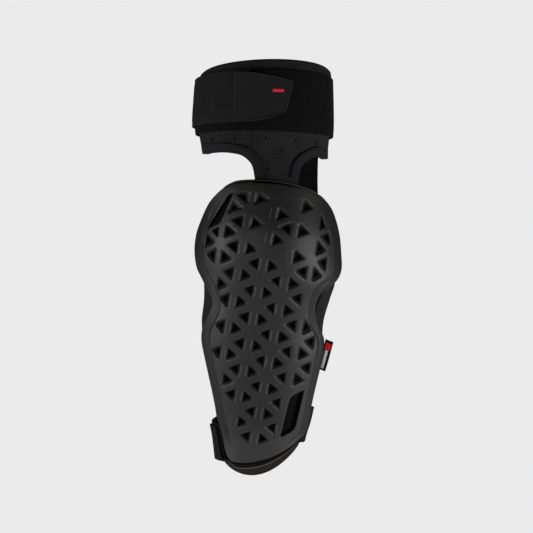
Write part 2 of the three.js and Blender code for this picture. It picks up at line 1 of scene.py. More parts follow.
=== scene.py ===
# Elbow and forearm guard: cloth, foam, tapes and the moulded lattice shell, in studio light.
# Metres, +Z up, the shell faces -Y, and the origin is on the arm's centre line at the upper strap.
import math
import bpy
import numpy as np
from mathutils.geometry import delaunay_2d_cdt
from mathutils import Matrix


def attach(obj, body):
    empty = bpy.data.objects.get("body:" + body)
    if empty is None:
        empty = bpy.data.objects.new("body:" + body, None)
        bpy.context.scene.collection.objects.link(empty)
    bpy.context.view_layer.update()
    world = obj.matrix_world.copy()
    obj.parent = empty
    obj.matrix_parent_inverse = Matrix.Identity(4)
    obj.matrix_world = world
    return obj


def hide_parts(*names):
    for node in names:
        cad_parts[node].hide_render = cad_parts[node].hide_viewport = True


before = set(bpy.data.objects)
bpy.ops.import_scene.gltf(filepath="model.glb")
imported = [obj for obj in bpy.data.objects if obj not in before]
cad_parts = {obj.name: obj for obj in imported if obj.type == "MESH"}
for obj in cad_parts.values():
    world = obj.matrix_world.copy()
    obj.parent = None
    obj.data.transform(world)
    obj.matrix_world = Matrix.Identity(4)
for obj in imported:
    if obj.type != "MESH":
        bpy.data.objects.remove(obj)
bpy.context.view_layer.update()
print("stage: frame loaded")

mm = 0.001

# Camera
camera = {"distance": 1.2, "height": -0.1382, "across": 0.4424, "sensor": 36.0}

lens = bpy.data.cameras.new("camera")
lens.sensor_width = camera["sensor"]
lens.lens = camera["sensor"] * camera["distance"] / camera["across"]
cameraObject = bpy.data.objects.new("camera", lens)
cameraObject.location = (0, -camera["distance"], camera["height"])
cameraObject.rotation_euler = (math.pi / 2, 0, 0)
bpy.context.scene.collection.objects.link(cameraObject)
bpy.context.scene.camera = cameraObject

# The arm's form, in millimetres
girths = {"upperArm": (103, 92), "elbow": (104, 94), "wrist": (57, 52)}
arm = {"upperLength": 124, "forearmLength": 190, "lean": 46, "shift": 6}

# Drop 0 is the origin, 1 the elbow line, 2 the wrist end; then girth, width, depth, side and back as shares
armSections = [
    (-0.22, "upperArm", 0.97, 0.98, -0.1, 0.0),
    (0.0, "upperArm", 1.0, 1.0, -0.23, 0.0),
    (0.2, "upperArm", 1.01, 1.01, -0.3, 0.0),
    (0.4, "upperArm", 0.95, 1.0, -0.15, 0.0),
    (0.65, "elbow", 0.925, 0.98, 0.0, 0.02),
    (1.0, "elbow", 1.0, 1.0, 0.13, 0.13),
    (1.14, "elbow", 1.01, 0.98, 0.42, 0.25),
    (1.22, "elbow", 0.97, 0.94, 0.05, 0.33),
    (1.32, "elbow", 0.94, 0.9, -0.55, 0.41),
    (1.46, "elbow", 0.9, 0.85, -0.5, 0.53),
    (1.66, "wrist", 1.37, 1.33, -0.62, 0.71),
    (1.77, "wrist", 1.24, 1.21, -0.74, 0.81),
    (1.83, "wrist", 1.14, 1.12, -0.85, 0.86),
    (1.93, "wrist", 1.035, 1.04, -1.0, 0.94),
    (2.02, "wrist", 0.98, 1.0, -1.03, 1.02),
]
sections = {
    "drop": np.array([row[0] for row in armSections]),
    "width": np.array([row[2] * girths[row[1]][0] for row in armSections]),
    "depth": np.array([row[3] * girths[row[1]][1] for row in armSections]),
    "side": np.array([row[4] * arm["shift"] for row in armSections]),
    "back": np.array([row[5] * arm["lean"] for row in armSections]),
}


# Cubic through the knots, whose slope at each knot is the slope between its two neighbours
def curve(knots, values, at):
    count = len(knots)
    low = np.maximum(np.arange(count) - 1, 0)
    high = np.minimum(np.arange(count) + 1, count - 1)
    slopes = (values[high] - values[low]) / (knots[high] - knots[low])
    place = np.clip(at, knots[0], knots[-1])
    after = np.clip(np.searchsorted(knots, place), 1, count - 1)
    before = after - 1
    step = knots[after] - knots[before]
    t = (place - knots[before]) / step
    start, end = slopes[before] * step, slopes[after] * step
    rise = values[after] - values[before]
    return values[before] + t * (start + t * (3 * rise - 2 * start - end + t * (start + end - 2 * rise)))


# Centre across, centre back, half width and half depth of the arm at the heights z
def armAt(z):
    upper, lower = arm["upperLength"], arm["forearmLength"]
    drop = np.where(-z <= upper, -z / upper, 1 + (-z - upper) / lower)
    side, back, width, depth = (curve(sections["drop"], sections[key], drop)
                                for key in ("side", "back", "width", "depth"))
    return side, back, width / 2, depth / 2


# Point on the arm: centre + (half width + lift) sin angle across, centre - (half depth + lift) cos angle back
def onArm(angle, z, lift):
    side, back, halfWidth, halfDepth = armAt(z)
    x = side + (halfWidth + lift) * np.sin(angle)
    y = back - (halfDepth + lift) * np.cos(angle)
    return np.stack(np.broadcast_arrays(x, y, z), axis=-1) * mm


# a where t is 0, b where it is 1, and straight between
def mix(a, b, t):
    return a + (b - a) * t


# 0 below low, 1 above high, and 3t^2 - 2t^3 between
def smooth(low, high, value):
    t = np.clip((value - low) / (high - low), 0, 1)
    return t * t * (3 - 2 * t)


# A Gaussian of height 1
def hump(value, middle, width):
    return np.exp(-(((value - middle) / width) ** 2))


# Cosine of the angle in front, and 0 behind
def front(angle):
    return np.maximum(0, np.cos(angle))


# Meshes
# Rows of faces and of their corners' uv; the faces are turned round where they enclose a negative volume
def addMesh(name, points, faces, uv, material):
    fans = [faces[:, [0, 1, 2]]] + ([faces[:, [0, 2, 3]]] if faces.shape[1] == 4 else [])
    corners = points[np.concatenate(fans)]
    volume = np.einsum("ij,ij->", corners[:, 0], np.cross(corners[:, 1], corners[:, 2]))
    if volume < 0:
        faces, uv = faces[:, ::-1], uv[:, ::-1]
    mesh = bpy.data.meshes.new(name)
    mesh.from_pydata(points.tolist(), [], faces.tolist())
    layer = mesh.uv_layers.new(name="surface")
    layer.data.foreach_set("uv", np.ascontiguousarray(uv, dtype=np.float32).ravel())
    mesh.polygons.foreach_set("use_smooth", np.ones(len(mesh.polygons), dtype=bool))
    mesh.materials.append(material)
    mesh.update()
    piece = bpy.data.objects.new(name, mesh)
    bpy.context.scene.collection.objects.link(piece)
    return piece


# Shares from 0 to 1 along a side of that length, with a quarter circle's steps within the radius of each end
def spaced(count, length, radius):
    near = radius / length * (1 - np.cos(np.linspace(0, math.pi / 2, 6)))
    inner = np.linspace(near[-1], 1 - near[-1], count)
    return np.concatenate([near[:-1], inner, (1 - near[:-1])[::-1]])


# Closed body between two grids of points; a ring's last column is its first again
def layered(name, outer, inner, flat, material, isRing=False):
    rows, columns = outer.shape[:2]
    stride = columns - 1 if isRing else columns
    layer = rows * stride
    points = np.concatenate([outer[:, :stride].reshape(-1, 3), inner[:, :stride].reshape(-1, 3)])
    r, c = (grid.ravel() for grid in np.meshgrid(np.arange(rows - 1), np.arange(columns - 1), indexing="ij"))
    atRows = np.stack([r, r + 1, r + 1, r], axis=1)
    atColumns = np.stack([c, c, c + 1, c + 1], axis=1)
    face = atRows * stride + atColumns % stride
    uv = flat[atRows, atColumns]
    faces, uvs = [face, face[:, ::-1] + layer], [uv, uv[:, ::-1]]
    allRows, allColumns = np.arange(rows), np.arange(columns)
    walls = [(0 * allColumns, allColumns), (0 * allColumns + rows - 1, allColumns[::-1])]
    if not isRing:
        walls += [(allRows[::-1], 0 * allRows), (allRows, 0 * allRows + columns - 1)]
    for wallRows, wallColumns in walls:
        index = wallRows * stride + wallColumns % stride
        edge = flat[wallRows, wallColumns]
        faces.append(np.stack([index[:-1], index[1:], index[1:] + layer, index[:-1] + layer], axis=1))
        uvs.append(np.stack([edge[:-1], edge[1:], edge[1:], edge[:-1]], axis=1))
    return addMesh(name, points, np.concatenate(faces), np.concatenate(uvs), material)


edgeShare = 0.1  # share of a slab's thickness that is left at its very edge
armReach = 52  # radius that turns angles into lengths on a flattened surface, where a piece names none


# Slab over a grid of places. Its half thickness is t / 2 * (s + (1 - s) sqrt(1 - (1 - e)^2)), where s is the
# edge's share and e the distance to the nearest side over the radius, at most 1. The outer face has relief
def slab(name, place, lift, spec, material, isRing=False, relief=None, flatten=None):
    width, height = spec["size"]
    thickness = spec["thickness"]
    radius = spec["radius"]
    columns, rows = spec["counts"]
    across = np.linspace(0, 1, columns + 1) if isRing else spaced(columns, width, radius)
    u, v = np.meshgrid(across, spaced(rows, height, radius))
    angle, z = place(u, v)
    away = np.minimum(v, 1 - v) * height
    if not isRing:
        away = np.minimum(away, np.minimum(u, 1 - u) * width)
    arc = np.sqrt(1 - (1 - np.clip(away / radius, 0, 1)) ** 2)
    half = thickness / 2 * (edgeShare + (1 - edgeShare) * arc)
    middle = (lift(angle, z) if callable(lift) else lift) + thickness / 2
    raised = 0 if relief is None else relief(angle, z, u, v) * arc
    flat = [angle * spec.get("reach", armReach), z] if flatten is None else flatten(u, v)
    flat = np.stack(flat, axis=-1) * mm
    return layered(name, onArm(angle, z, middle + half + raised), onArm(angle, z, middle - half), flat,
                   material, isRing)


# Finishes. Periods, widths and depths of bumps are in millimetres, and a noise's scale is in cells a metre
clothSheen = 0.006
shine = {"cloth": 0.08, "plain": 0.5, "sheenRoughness": 0.45}


# Links an output to a socket, or sets a number or colour on the socket itself
def feed(tree, socket, value):
    if isinstance(value, Wire):
        tree.links.new(value.socket, socket)
    else:
        socket.default_value = value


# A node's output, to which numbers and other outputs can be added, or taken off, or multiplied with it
class Wire:
    def __init__(self, tree, socket):
        self.tree, self.socket = tree, socket

    def join(self, operation, *values):
        node = self.tree.nodes.new("ShaderNodeMath")
        node.operation = operation
        for socket, value in zip(node.inputs, values):
            feed(self.tree, socket, value)
        return Wire(self.tree, node.outputs[0])

    def __add__(self, other):
        return self.join("ADD", self, other)

    def __sub__(self, other):
        return self.join("SUBTRACT", self, other)

    def __rsub__(self, other):
        return self.join("SUBTRACT", other, self)

    def __mul__(self, other):
        return self.join("MULTIPLY", self, other)

    def __abs__(self):
        return self.join("ABSOLUTE", self)

    def larger(self, other):
        return self.join("MAXIMUM", self, other)


# A material with its shader, its surface coordinates in millimetres and short calls for its nodes
class Finish:
    def __init__(self, name, color, roughness, sheen=0.0):
        self.material = bpy.data.materials.new(name)
        self.material.use_nodes = True
        self.tree = self.material.node_tree
        self.tree.nodes.clear()
        self.shader = self.node("BsdfPrincipled")
        target = self.node("OutputMaterial")
        self.tree.links.new(self.shader.outputs["BSDF"], target.inputs["Surface"])
        self.give("Base Color", (*color, 1))
        self.give("Roughness", roughness)
        self.give("Specular IOR Level", shine["cloth"] if sheen else shine["plain"])
        self.give("Sheen Weight", sheen)
        self.give("Sheen Roughness", shine["sheenRoughness"])
        self.object = self.wire(self.node("TexCoord"), "Object")
        surface = self.node("UVMap")
        surface.uv_map = "surface"
        scaled = self.node("VectorMath")
        scaled.operation = "SCALE"
        feed(self.tree, scaled.inputs[0], self.wire(surface, "UV"))
        scaled.inputs["Scale"].default_value = 1 / mm
        self.flat = self.wire(scaled, "Vector")
        parts = self.node("SeparateXYZ")
        feed(self.tree, parts.inputs[0], self.flat)
        self.u, self.v = self.wire(parts, "X"), self.wire(parts, "Y")

    def node(self, kind):
        return self.tree.nodes.new("ShaderNode" + kind)

    def wire(self, node, output):
        return Wire(self.tree, node.outputs[output])

    # Sets or links one of the shader's inputs
    def give(self, key, value):
        feed(self.tree, self.shader.inputs[key], value)

    # Distance of the surface coordinates from a place on the surface
    def awayFrom(self, place):
        node = self.node("VectorMath")
        node.operation = "DISTANCE"
        feed(self.tree, node.inputs[0], self.flat)
        node.inputs[1].default_value = (*place, 0)
        return self.wire(node, "Value")

    # A point attribute of the mesh
    def attribute(self, key):
        node = self.node("Attribute")
        node.attribute_name = key
        return self.wire(node, "Fac")

    # Sine wave from -1 to 1 with that period
    def wave(self, value, period, phase=0.0):
        turned = value.join("MULTIPLY_ADD", value, 2 * math.pi / period, phase)
        return turned.join("SINE", turned)

    # 0 at low and 1 at high, smoothly, and level past both
    def step(self, value, low, high):
        node = self.node("MapRange")
        node.interpolation_type = "SMOOTHSTEP"
        feed(self.tree, node.inputs["Value"], value)
        node.inputs["From Min"].default_value = min(low, high)
        node.inputs["From Max"].default_value = max(low, high)
        if low > high:
            node.inputs["To Min"].default_value, node.inputs["To Max"].default_value = 1, 0
        return self.wire(node, "Result")

    # 1 within a half width of the middle, falling to 0 over a soft border
    def band(self, value, middle, halfWidth, soft=0.15):
        return 1 - self.step(abs(value - middle), halfWidth - soft, halfWidth + soft)

    def noise(self, scale, detail=2.0):
        node = self.node("TexNoise")
        feed(self.tree, node.inputs["Vector"], self.object)
        node.inputs["Scale"].default_value = scale
        node.inputs["Detail"].default_value = detail
        return self.wire(node, "Fac")

    def blend(self, factor, a, b):
        node = self.node("Mix")
        node.data_type = "RGBA"
        feed(self.tree, node.inputs[0], factor)
        for socket, value in zip((node.inputs[6], node.inputs[7]), (a, b)):
            feed(self.tree, socket, value if isinstance(value, Wire) else (*value, 1))
        return self.wire(node, 2)

    def bump(self, height, strength, distance):
        node = self.node("Bump")
        node.inputs["Strength"].default_value = strength
        node.inputs["Distance"].default_value = distance * mm
        feed(self.tree, node.inputs["Height"], height)
        self.give("Normal", self.wire(node, "Normal"))

    def color(self, value):
        self.give("Base Color", value)

    def roughness(self, low, high, factor):
        self.give("Roughness", factor * (high - low) + low)


# Smooth jersey: low rows of loops and a faint cloudiness
def jersey(name, color, lighter):
    finish = Finish(name, color, 0.85, clothSheen)
    loops = finish.wave(finish.u, 0.95) * finish.wave(finish.v, 0.75)
    finish.color(finish.blend(finish.noise(60), color, lighter))
    finish.bump(loops + finish.noise(900), 0.35, 0.12)
    return finish.material


# Brushed loop pile: short tangled fibres over slow clumps
def loopPile(name, color, lighter):
    finish = Finish(name, color, 1.0, clothSheen)
    fibres, clumps = finish.noise(1500, 4), finish.noise(280, 3)
    finish.color(finish.blend(clumps, color, lighter))
    finish.bump(fibres + clumps, 0.6, 0.5)
    return finish.material


# Woven elastic: ribs along its length, crossed by fine threads, over slow clouds
def elastic(name, ribPeriod, color, lighter, ribbing=1.0):
    finish = Finish(name, color, 0.75, clothSheen)
    weave = finish.wave(finish.v, ribPeriod) + finish.wave(finish.u, 0.8, 0.6) * 0.45
    clouds = finish.noise(120) * 0.5 + finish.noise(30) * 0.5
    finish.color(finish.blend(weave * (0.25 * ribbing) + clouds, color, lighter))
    finish.bump(weave, 0.55 * ribbing, 0.18)
    return finish.material


# Stretch knit: columns of small V loops
def knit(name, color, lighter, column=2.6, row=1.25):
    finish = Finish(name, color, 0.85, clothSheen)
    slant = abs(finish.wave(finish.u, column))
    rows = finish.wave(slant * 0.55 + finish.v, row)
    loops = (rows * 0.5 + 0.5) * abs(finish.wave(finish.u, column, math.pi / 2))
    finish.color(finish.blend(finish.noise(140) * 0.5 + loops, color, lighter))
    finish.bump(loops, 0.7, 0.3)
    return finish.material


# Open diamond mesh: two sets of slanted yarns over black, with clusters of wider holes
def diamondMesh(name, pitch, clusters, yarn, black=(0.0012, 0.0012, 0.0012)):
    finish = Finish(name, yarn, 0.8, clothSheen)
    rising, falling = (finish.wave(finish.u * slope + finish.v, pitch) for slope in (0.85, -0.85))
    yarns = finish.step(rising.larger(falling), 0.3, 0.85)
    if clusters:
        away = finish.step(finish.awayFrom(clusters[0]), 1.0, 2.0)
        for place in clusters[1:]:
            away = away * finish.step(finish.awayFrom(place), 1.0, 2.0)
        yarns = yarns * away.larger(finish.step(finish.wave(finish.u, 1.5), 0.2, 0.6))
    finish.color(finish.blend(yarns * (finish.noise(90) * 0.8 + 0.5), black, yarn))
    finish.bump(yarns, 0.8, 0.35)
    return finish.material


# Dark cord cover with a painted highlight line along it: u runs round it and v along it
def cordCover(name, lineHighlightAt, dark, pale):
    finish = Finish(name, dark, 0.6, clothSheen)
    twill = finish.wave(finish.u * 0.8 + finish.v, 0.8)
    # A painted highlight along the tube's outer side
    line = finish.band(finish.u, lineHighlightAt, 0.55, 0.3) * (finish.noise(200) * 0.4 + 0.7)
    finish.color(finish.blend(line, dark, pale))
    finish.bump(twill, 0.4, 0.1)
    return finish.material


# Folded tape with two rows of stitches: u runs across it and v along it
def stitchedTape(name, rows, cloth, thread):
    finish = Finish(name, cloth, 0.8, clothSheen)
    dash = finish.step(finish.wave(finish.v, 2.6), -0.45, -0.2)
    first, second = (finish.band(finish.u, row, 0.28) * dash for row in rows)
    stitches = first.larger(second)
    weave = finish.wave(finish.u, 0.7) * finish.wave(finish.v, 0.7)
    finish.color(finish.blend(stitches, cloth, thread))
    finish.bump(weave * 0.12 + stitches, 0.7, 0.35)
    return finish.material


# Moulded rubber with a fine grain, one column of stitches and a painted highlight line at its left edge
def tabRubber(name, stitchAt, edgeHighlightAt, face, pale, thread):
    finish = Finish(name, face, 0.6)
    finish.give("Specular IOR Level", 0.16)
    stitches = finish.band(finish.u, stitchAt, 0.35) * finish.step(finish.wave(finish.v, 3.0), -0.3, 0.0)
    # Painted highlight along the left edge
    edge = finish.band(finish.u, edgeHighlightAt, 0.2, 0.2) * 0.8
    finish.color(finish.blend(stitches, finish.blend(edge, face, pale), thread))
    finish.roughness(0.55, 0.68, finish.noise(400))
    finish.bump(finish.noise(1800, 3) * 0.2 + stitches, 0.45, 0.25)
    return finish.material


# Satin moulded plastic: fine grain, soft clouds, painted shade near the top, painted light near the lower
# end, paler rubbed edges that are partly painted highlight, and painted shade on the sunken walls. The
# coordinates are those of the even lattice. The sum of three cosines across its three rib directions is 3 at
# the hubs and below 0.4 more than 6.5 mm away. The hubs stand a little higher than the ribs between them, and
# the ribs that lean with the columns have a painted highlight line at each side, which fades towards the
# right
def shellPlastic(name, lattice, tones):
    finish = Finish(name, tones["cloud"], 0.45)
    lean = math.radians(lattice["lean"])
    away, down = finish.u - lattice["hubX"], finish.v - lattice["hubZ"]
    side = away * math.cos(lean) + down * -math.sin(lean)
    along = away * math.sin(lean) + down * math.cos(lean)
    spacing = lattice["pitch"] * math.sqrt(3) / 2
    waves = finish.wave(side, spacing, math.pi / 2)
    for sign in (1, -1):
        slanted = side * 0.5 + along * (sign * math.sqrt(3) / 2)
        waves = waves + finish.wave(slanted, spacing, math.pi / 2)
    pattern, rubbed, sunken, rim = (finish.attribute(key) for key in ("pattern", "rubbed", "sunken", "rim"))
    hubs = finish.step(waves, 0.25, 0.6) * pattern
    offset = side.join("PINGPONG", side, spacing / 2)
    # Painted highlight lines along both sides of the leaning ribs, fading towards the right
    lines = finish.band(offset, lattice["ridge"], 0.4, 0.3) * (1 - finish.step(waves, -0.3, 0.3))
    lines = lines * (1 - finish.step(finish.u, 4.0, 22.0)) * pattern
    # Pale rubbed edges, partly painted highlight
    edges = rubbed * (finish.noise(70) * 0.25)
    face = finish.blend(finish.noise(14, 3), tones["face"], tones["cloud"])
    # Painted shade: the face darker towards the top
    face = finish.blend(finish.step(finish.v, *tones["topShadeHeights"]) * 0.75, face, tones["top"])
    # Painted light: the face lighter towards the lower end
    face = finish.blend(finish.step(finish.v, *tones["endLightHeights"]), face, tones["end"])
    face = finish.blend(rim, face, tones["rim"])
    face = finish.blend(edges.larger(lines), face, tones["rubbed"])
    # Painted shade on the sunken hole walls and in the lip's groove, with less specular there
    finish.color(finish.blend(sunken, face, tones["paintedShadeTone"]))
    finish.give("Specular IOR Level", sunken * -0.32 + (rim * -0.07 + 0.33))
    finish.roughness(0.4, 0.54, finish.noise(45, 3))
    finish.bump(hubs * 0.3 + (finish.noise(1600, 3) * 0.12 + lines), 0.5, 0.25)
    return finish.material


# Woven label: black, with two plain blocks, each given by its middle and half width across and up
def wovenLabel(name, blocks, black, red, white):
    finish = Finish(name, black, 0.75, clothSheen)
    block, stripe = (finish.band(finish.u, *across) * finish.band(finish.v, *up) for across, up in blocks)
    threads = finish.wave(finish.u, 0.5) * finish.wave(finish.v, 0.4)
    finish.color(finish.blend(stripe, finish.blend(block, black, red), white))
    finish.bump(threads, 0.4, 0.12)
    return finish.material


# Raised print with a fine grain
def rubberPrint(name, color, roughness=0.5):
    finish = Finish(name, color, roughness)
    finish.roughness(roughness - 0.06, roughness + 0.06, finish.noise(300))
    finish.bump(finish.noise(900, 3), 0.3, 0.1)
    return finish.material


# Cuff, wrap, strap and tab. In each piece's dictionary, lengths are in millimetres, and start and end are in
# degrees from the front towards the right. size is a surface's width and height, counts its cells across and
# down, radius that of its rounded edges, and lift its distance off the arm
clearance = 0.5
pieces = {}

cuffForm = {"top": 18.5, "arch": 8.8, "archPower": 0.57, "sideRise": 1.5, "bottom": 27, "thickness": 3.6,
            "radius": 1.8, "size": (330, 46), "counts": (160, 22), "roll": 0.55, "rollAt": (1.6, 1.0),
            "groove": 0.5, "grooveAt": (3.6, 0.6)}


# Angle all round from behind. Height from the top, which rises by a power of the cosine in front and by a
# sine on the right, straight down to the level bottom
def cuffPlace(u, v):
    angle = 2 * math.pi * u - math.pi
    arch = cuffForm["arch"] * front(angle) ** cuffForm["archPower"]
    return angle, mix(cuffForm["top"] + arch + cuffForm["sideRise"] * np.sin(angle), -cuffForm["bottom"], v)


# A rolled border at the top: a hump below the edge and a shallow groove under it
def cuffRelief(angle, z, u, v):
    below = cuffPlace(u, 0 * v)[1] - z
    groove = cuffForm["groove"] * hump(below, *cuffForm["grooveAt"])
    return cuffForm["roll"] * hump(below, *cuffForm["rollAt"]) - groove


cuffJersey = jersey("cuffJersey", (0.0125, 0.0122, 0.0131), (0.0175, 0.017, 0.0184))
pieces["arm_cuff"] = slab("cuffPad", cuffPlace, 0, cuffForm, cuffJersey, True, cuffRelief)

wrapForm = {"top": 16.3, "arch": 2.7, "bottom": 30.5, "sideDrop": 1.2, "thickness": 1.5, "radius": 0.7,
            "lift": cuffForm["thickness"] + clearance, "size": (345, 49), "counts": (160, 16)}


# Angle all round from behind. Height from the top, which rises by the cosine in front, down to the bottom,
# which drops by a sine on the right
def wrapPlace(u, v):
    angle = 2 * math.pi * u - math.pi
    top = wrapForm["top"] + wrapForm["arch"] * front(angle)
    return angle, mix(top, -wrapForm["bottom"] - wrapForm["sideDrop"] * np.sin(angle), v)


wrapPile = loopPile("loopPile", (0.0035, 0.0033, 0.0033), (0.009, 0.0086, 0.0082))
pieces["loop_wrap"] = slab("loopWrap", wrapPlace, wrapForm["lift"], wrapForm, wrapPile, True)

strapForm = {"top": 15.9, "bottom": 23, "start": -12, "end": -200, "thickness": 1.8, "radius": 0.8,
             "lift": wrapForm["lift"] + wrapForm["thickness"] + clearance, "size": (195, 40),
             "counts": (90, 18), "groove": 0.25, "grooveAt": (3.0, 0.5)}


# Angle evenly from start to end. Height from the top, arched as the wrap's, down to the level bottom
def strapPlace(u, v):
    angle = np.radians(mix(strapForm["start"], strapForm["end"], u))
    return angle, mix(strapForm["top"] + wrapForm["arch"] * front(angle), -strapForm["bottom"], v)


# A shallow groove inside both long edges
def strapRelief(angle, z, u, v):
    fromEdge = np.minimum(v, 1 - v) * strapForm["size"][1]
    return -strapForm["groove"] * hump(fromEdge, *strapForm["grooveAt"])


strapElastic = elastic("strapElastic", 1.2, (0.0085, 0.0087, 0.0094), (0.019, 0.0192, 0.0204), 0.3)
pieces["upper_strap"] = slab("upperStrap", strapPlace, strapForm["lift"], strapForm, strapElastic,
                             relief=strapRelief)

# Chords across the tab: left drop, left, right drop, right, in shares of its height and width
tabChords = np.array([
    (0.0, -0.5, 0.18, 0.46),
    (0.04, -0.515, 0.22, 0.485),
    (0.5, -0.5, 0.5, 0.43),
    (0.95, -0.485, 0.77, 0.37),
    (0.985, -0.46, 0.84, 0.3),
])
tabForm = {"width": 48, "height": 40, "middle": -3.2, "step": 2.1, "stepFrom": 0.05, "stepTo": 0.22,
           "topArch": 1.6, "bottomArch": 2.6, "lift": strapForm["lift"] + strapForm["thickness"] + clearance,
           "thickness": 1.8, "radius": 0.9, "size": (48, 36), "counts": (48, 36), "reach": 60,
           "field": 0.45, "fieldFrom": (1.6, 2.6)}


# Between the left and the right end of the chord at each drop, bowed out at the top and the bottom
def chordPlace(chords, leftAngle, rightAngle, height, top, topArch, bottomArch, u, v):
    knots = np.linspace(0, 1, len(chords))
    leftDrop, left, rightDrop, right = (curve(knots, chords[:, column], v) for column in range(4))
    arch = topArch * np.clip(1 - 5 * v, 0, 1) ** 2 - bottomArch * np.clip(5 * v - 4, 0, 1) ** 2
    z = top - height * mix(leftDrop, rightDrop, u) + 4 * u * (1 - u) * arch
    return mix(leftAngle(left), rightAngle(right), u), z


# Chords of the tab. A share of its width stands for a length across in front of the arm, so the angle is the
# arcsine of that length over the radius there
def tabPlace(u, v):
    def turned(share):
        return np.arcsin(share * tabForm["width"] / (girths["upperArm"][0] / 2 + tabForm["lift"]))
    top = tabForm["middle"] + tabForm["height"] / 2
    return chordPlace(tabChords, turned, turned, tabForm["height"], top, tabForm["topArch"],
                      tabForm["bottomArch"], u, v)


# The tab sinks by its step from the strap's face to the wrap's, between two radians right of the strap's end
def tabLift(angle, z):
    past = angle - math.radians(strapForm["start"])
    return tabForm["lift"] - tabForm["step"] * smooth(tabForm["stepFrom"], tabForm["stepTo"], past)


# A raised border all round and a shallow field inside it
def tabRelief(angle, z, u, v):
    away = np.minimum(np.minimum(u, 1 - u) * tabForm["width"], np.minimum(v, 1 - v) * tabForm["size"][1])
    return -tabForm["field"] * smooth(*tabForm["fieldFrom"], away)


# The pale colour is that of the painted highlight at the tab's left edge
tabFinish = tabRubber("tabRubber", -19.0, -24.2, (0.0125, 0.0118, 0.0132), (0.034, 0.033, 0.036),
                      (0.004, 0.004, 0.0045))
pieces["pull_tab"] = slab("pullTab", tabPlace, tabLift, tabForm, tabFinish, relief=tabRelief)

barForm = {"x": 10.9, "z": 1.6, "size": (9, 2.4), "thickness": 0.7, "sunk": 0.6, "radius": 0.5,
           "counts": (14, 8), "tabRadius": 59}


# A level rectangle on the tab: the angle is the length across over the tab's radius
def barPlace(u, v):
    width, height = barForm["size"]
    middle = barForm["x"] / (girths["upperArm"][0] / 2 + tabForm["lift"])
    angle = middle + (u - 0.5) * width / barForm["tabRadius"]
    return angle, barForm["z"] + (0.5 - v) * height + 0 * u


# The tab's outer face, less the depth by which the bar is sunk
def barLift(angle, z):
    return tabLift(angle, z) + tabForm["thickness"] - barForm["sunk"]


redBar = slab("tabBar", barPlace, barLift, barForm, rubberPrint("barRed", (0.8, 0.015, 0.04)))
print("stage: cuff, wrap, strap and tab")

# Elbow panel, bindings and back band
sleeveThickness = 2.4
panelForm = {"length": 51, "halfAngle": 105, "thickness": sleeveThickness, "radius": 1.2,
             "size": (190, 40), "counts": (150, 26), "reach": 50, "top": -cuffForm["bottom"] - clearance}

# Lower edge of the panel from its left end to its right end: across and drop, as shares
panelLowerEdge = np.array([
    (-1.0, 0.2), (-0.92, 0.28), (-0.7, 0.365), (-0.55, 0.365), (-0.4, 0.37), (-0.296, 0.392),
    (-0.207, 0.43), (-0.147, 0.51), (-0.114, 0.605), (-0.098, 0.77), (-0.09, 1.0), (0.0, 1.0),
    (0.1, 1.0), (0.19, 1.0), (0.286, 1.0), (0.289, 0.85), (0.298, 0.71), (0.33, 0.58),
    (0.41, 0.48), (0.525, 0.42), (0.68, 0.45), (0.92, 0.31), (1.0, 0.22),
])
lastRow = len(panelLowerEdge) - 1


# Angle and height of the panel's lower edge at a row of its table, by the cubic through the rows
def panelEdge(row):
    knots = np.linspace(0, 1, lastRow + 1)
    across, drop = (curve(knots, panelLowerEdge[:, column], row / lastRow) for column in range(2))
    return np.radians(across * panelForm["halfAngle"]), panelForm["top"] - panelForm["length"] * drop


# Angle of the lower edge's point at that share of its rows, and height from the level top down to it
def panelPlace(u, v):
    angle, edge = panelEdge(u * lastRow)
    return angle, mix(panelForm["top"], edge, v)


# Clusters of wider holes on the panel, across from the middle and above the origin, in millimetres
meshClusters = [(-46, -35.6), (-23, -36), (1, -35.8), (24, -37), (47, -38), (13.5, -46.4), (1.5, -60.5)]
pieces["elbow_panel"] = slab("elbowMesh", panelPlace, 0, panelForm,
                             diamondMesh("panelMesh", 2.2, meshClusters, (0.046, 0.044, 0.0455)))

# The rows of the panel's edge along which each binding runs, and its length
bindingForm = {"width": 7.5, "thickness": 1.5, "radius": 0.7, "reach": 52,
               "lift": sleeveThickness + clearance}
bindingRuns = {"left": ((1.9, 9.1), 62), "right": ((15.4, 20.2), 44)}


# Along the cut-out between two rows of the panel's edge, and inwards at right angles to it
def bindingPlace(span):
    def place(u, v):
        row = mix(span[0], span[1], v)
        behind, here, ahead = (panelEdge(row + step) for step in (-0.3, 0, 0.3))
        dx, dz = (ahead[0] - behind[0]) * bindingForm["reach"], ahead[1] - behind[1]
        share = u * bindingForm["width"] / np.hypot(dx, dz)
        return here[0] - dz * share / bindingForm["reach"], here[1] + dx * share
    return place


tape = stitchedTape("bindingTape", (1.6, 5.4), (0.0185, 0.0176, 0.0197), (0.005, 0.005, 0.0055))
for side, (run, length) in bindingRuns.items():
    spec = {**bindingForm, "size": (bindingForm["width"], length), "counts": (12, 70)}
    pieces[f"{side}_binding"] = slab(
        f"{side}Binding", bindingPlace(run), bindingForm["lift"], spec, tape,
        flatten=lambda u, v, length=length: [u * bindingForm["width"], v * length])

sleeveForm = {"sideDrop": 30, "backDrop": 17, "seam": 100, "hemBottom": 296, "hemFrontDrop": 17.5,
              "hemSideRise": 6.5, "hemHeight": 10, "thickness": sleeveThickness, "radius": 1.2,
              "counts": (110, 90), "reach": 48}


# The sleeve's top edge, a clearance under the panel's end. It drops by sin^2 towards the sides and by the
# cosine behind
def sleeveTop(angle):
    sideways = np.sin(np.clip(np.abs(angle), 0, math.pi / 2)) ** 2
    behind = np.maximum(0, -np.cos(angle))
    return (panelForm["top"] - panelForm["length"] - clearance - sleeveForm["sideDrop"] * sideways
            - sleeveForm["backDrop"] * behind)


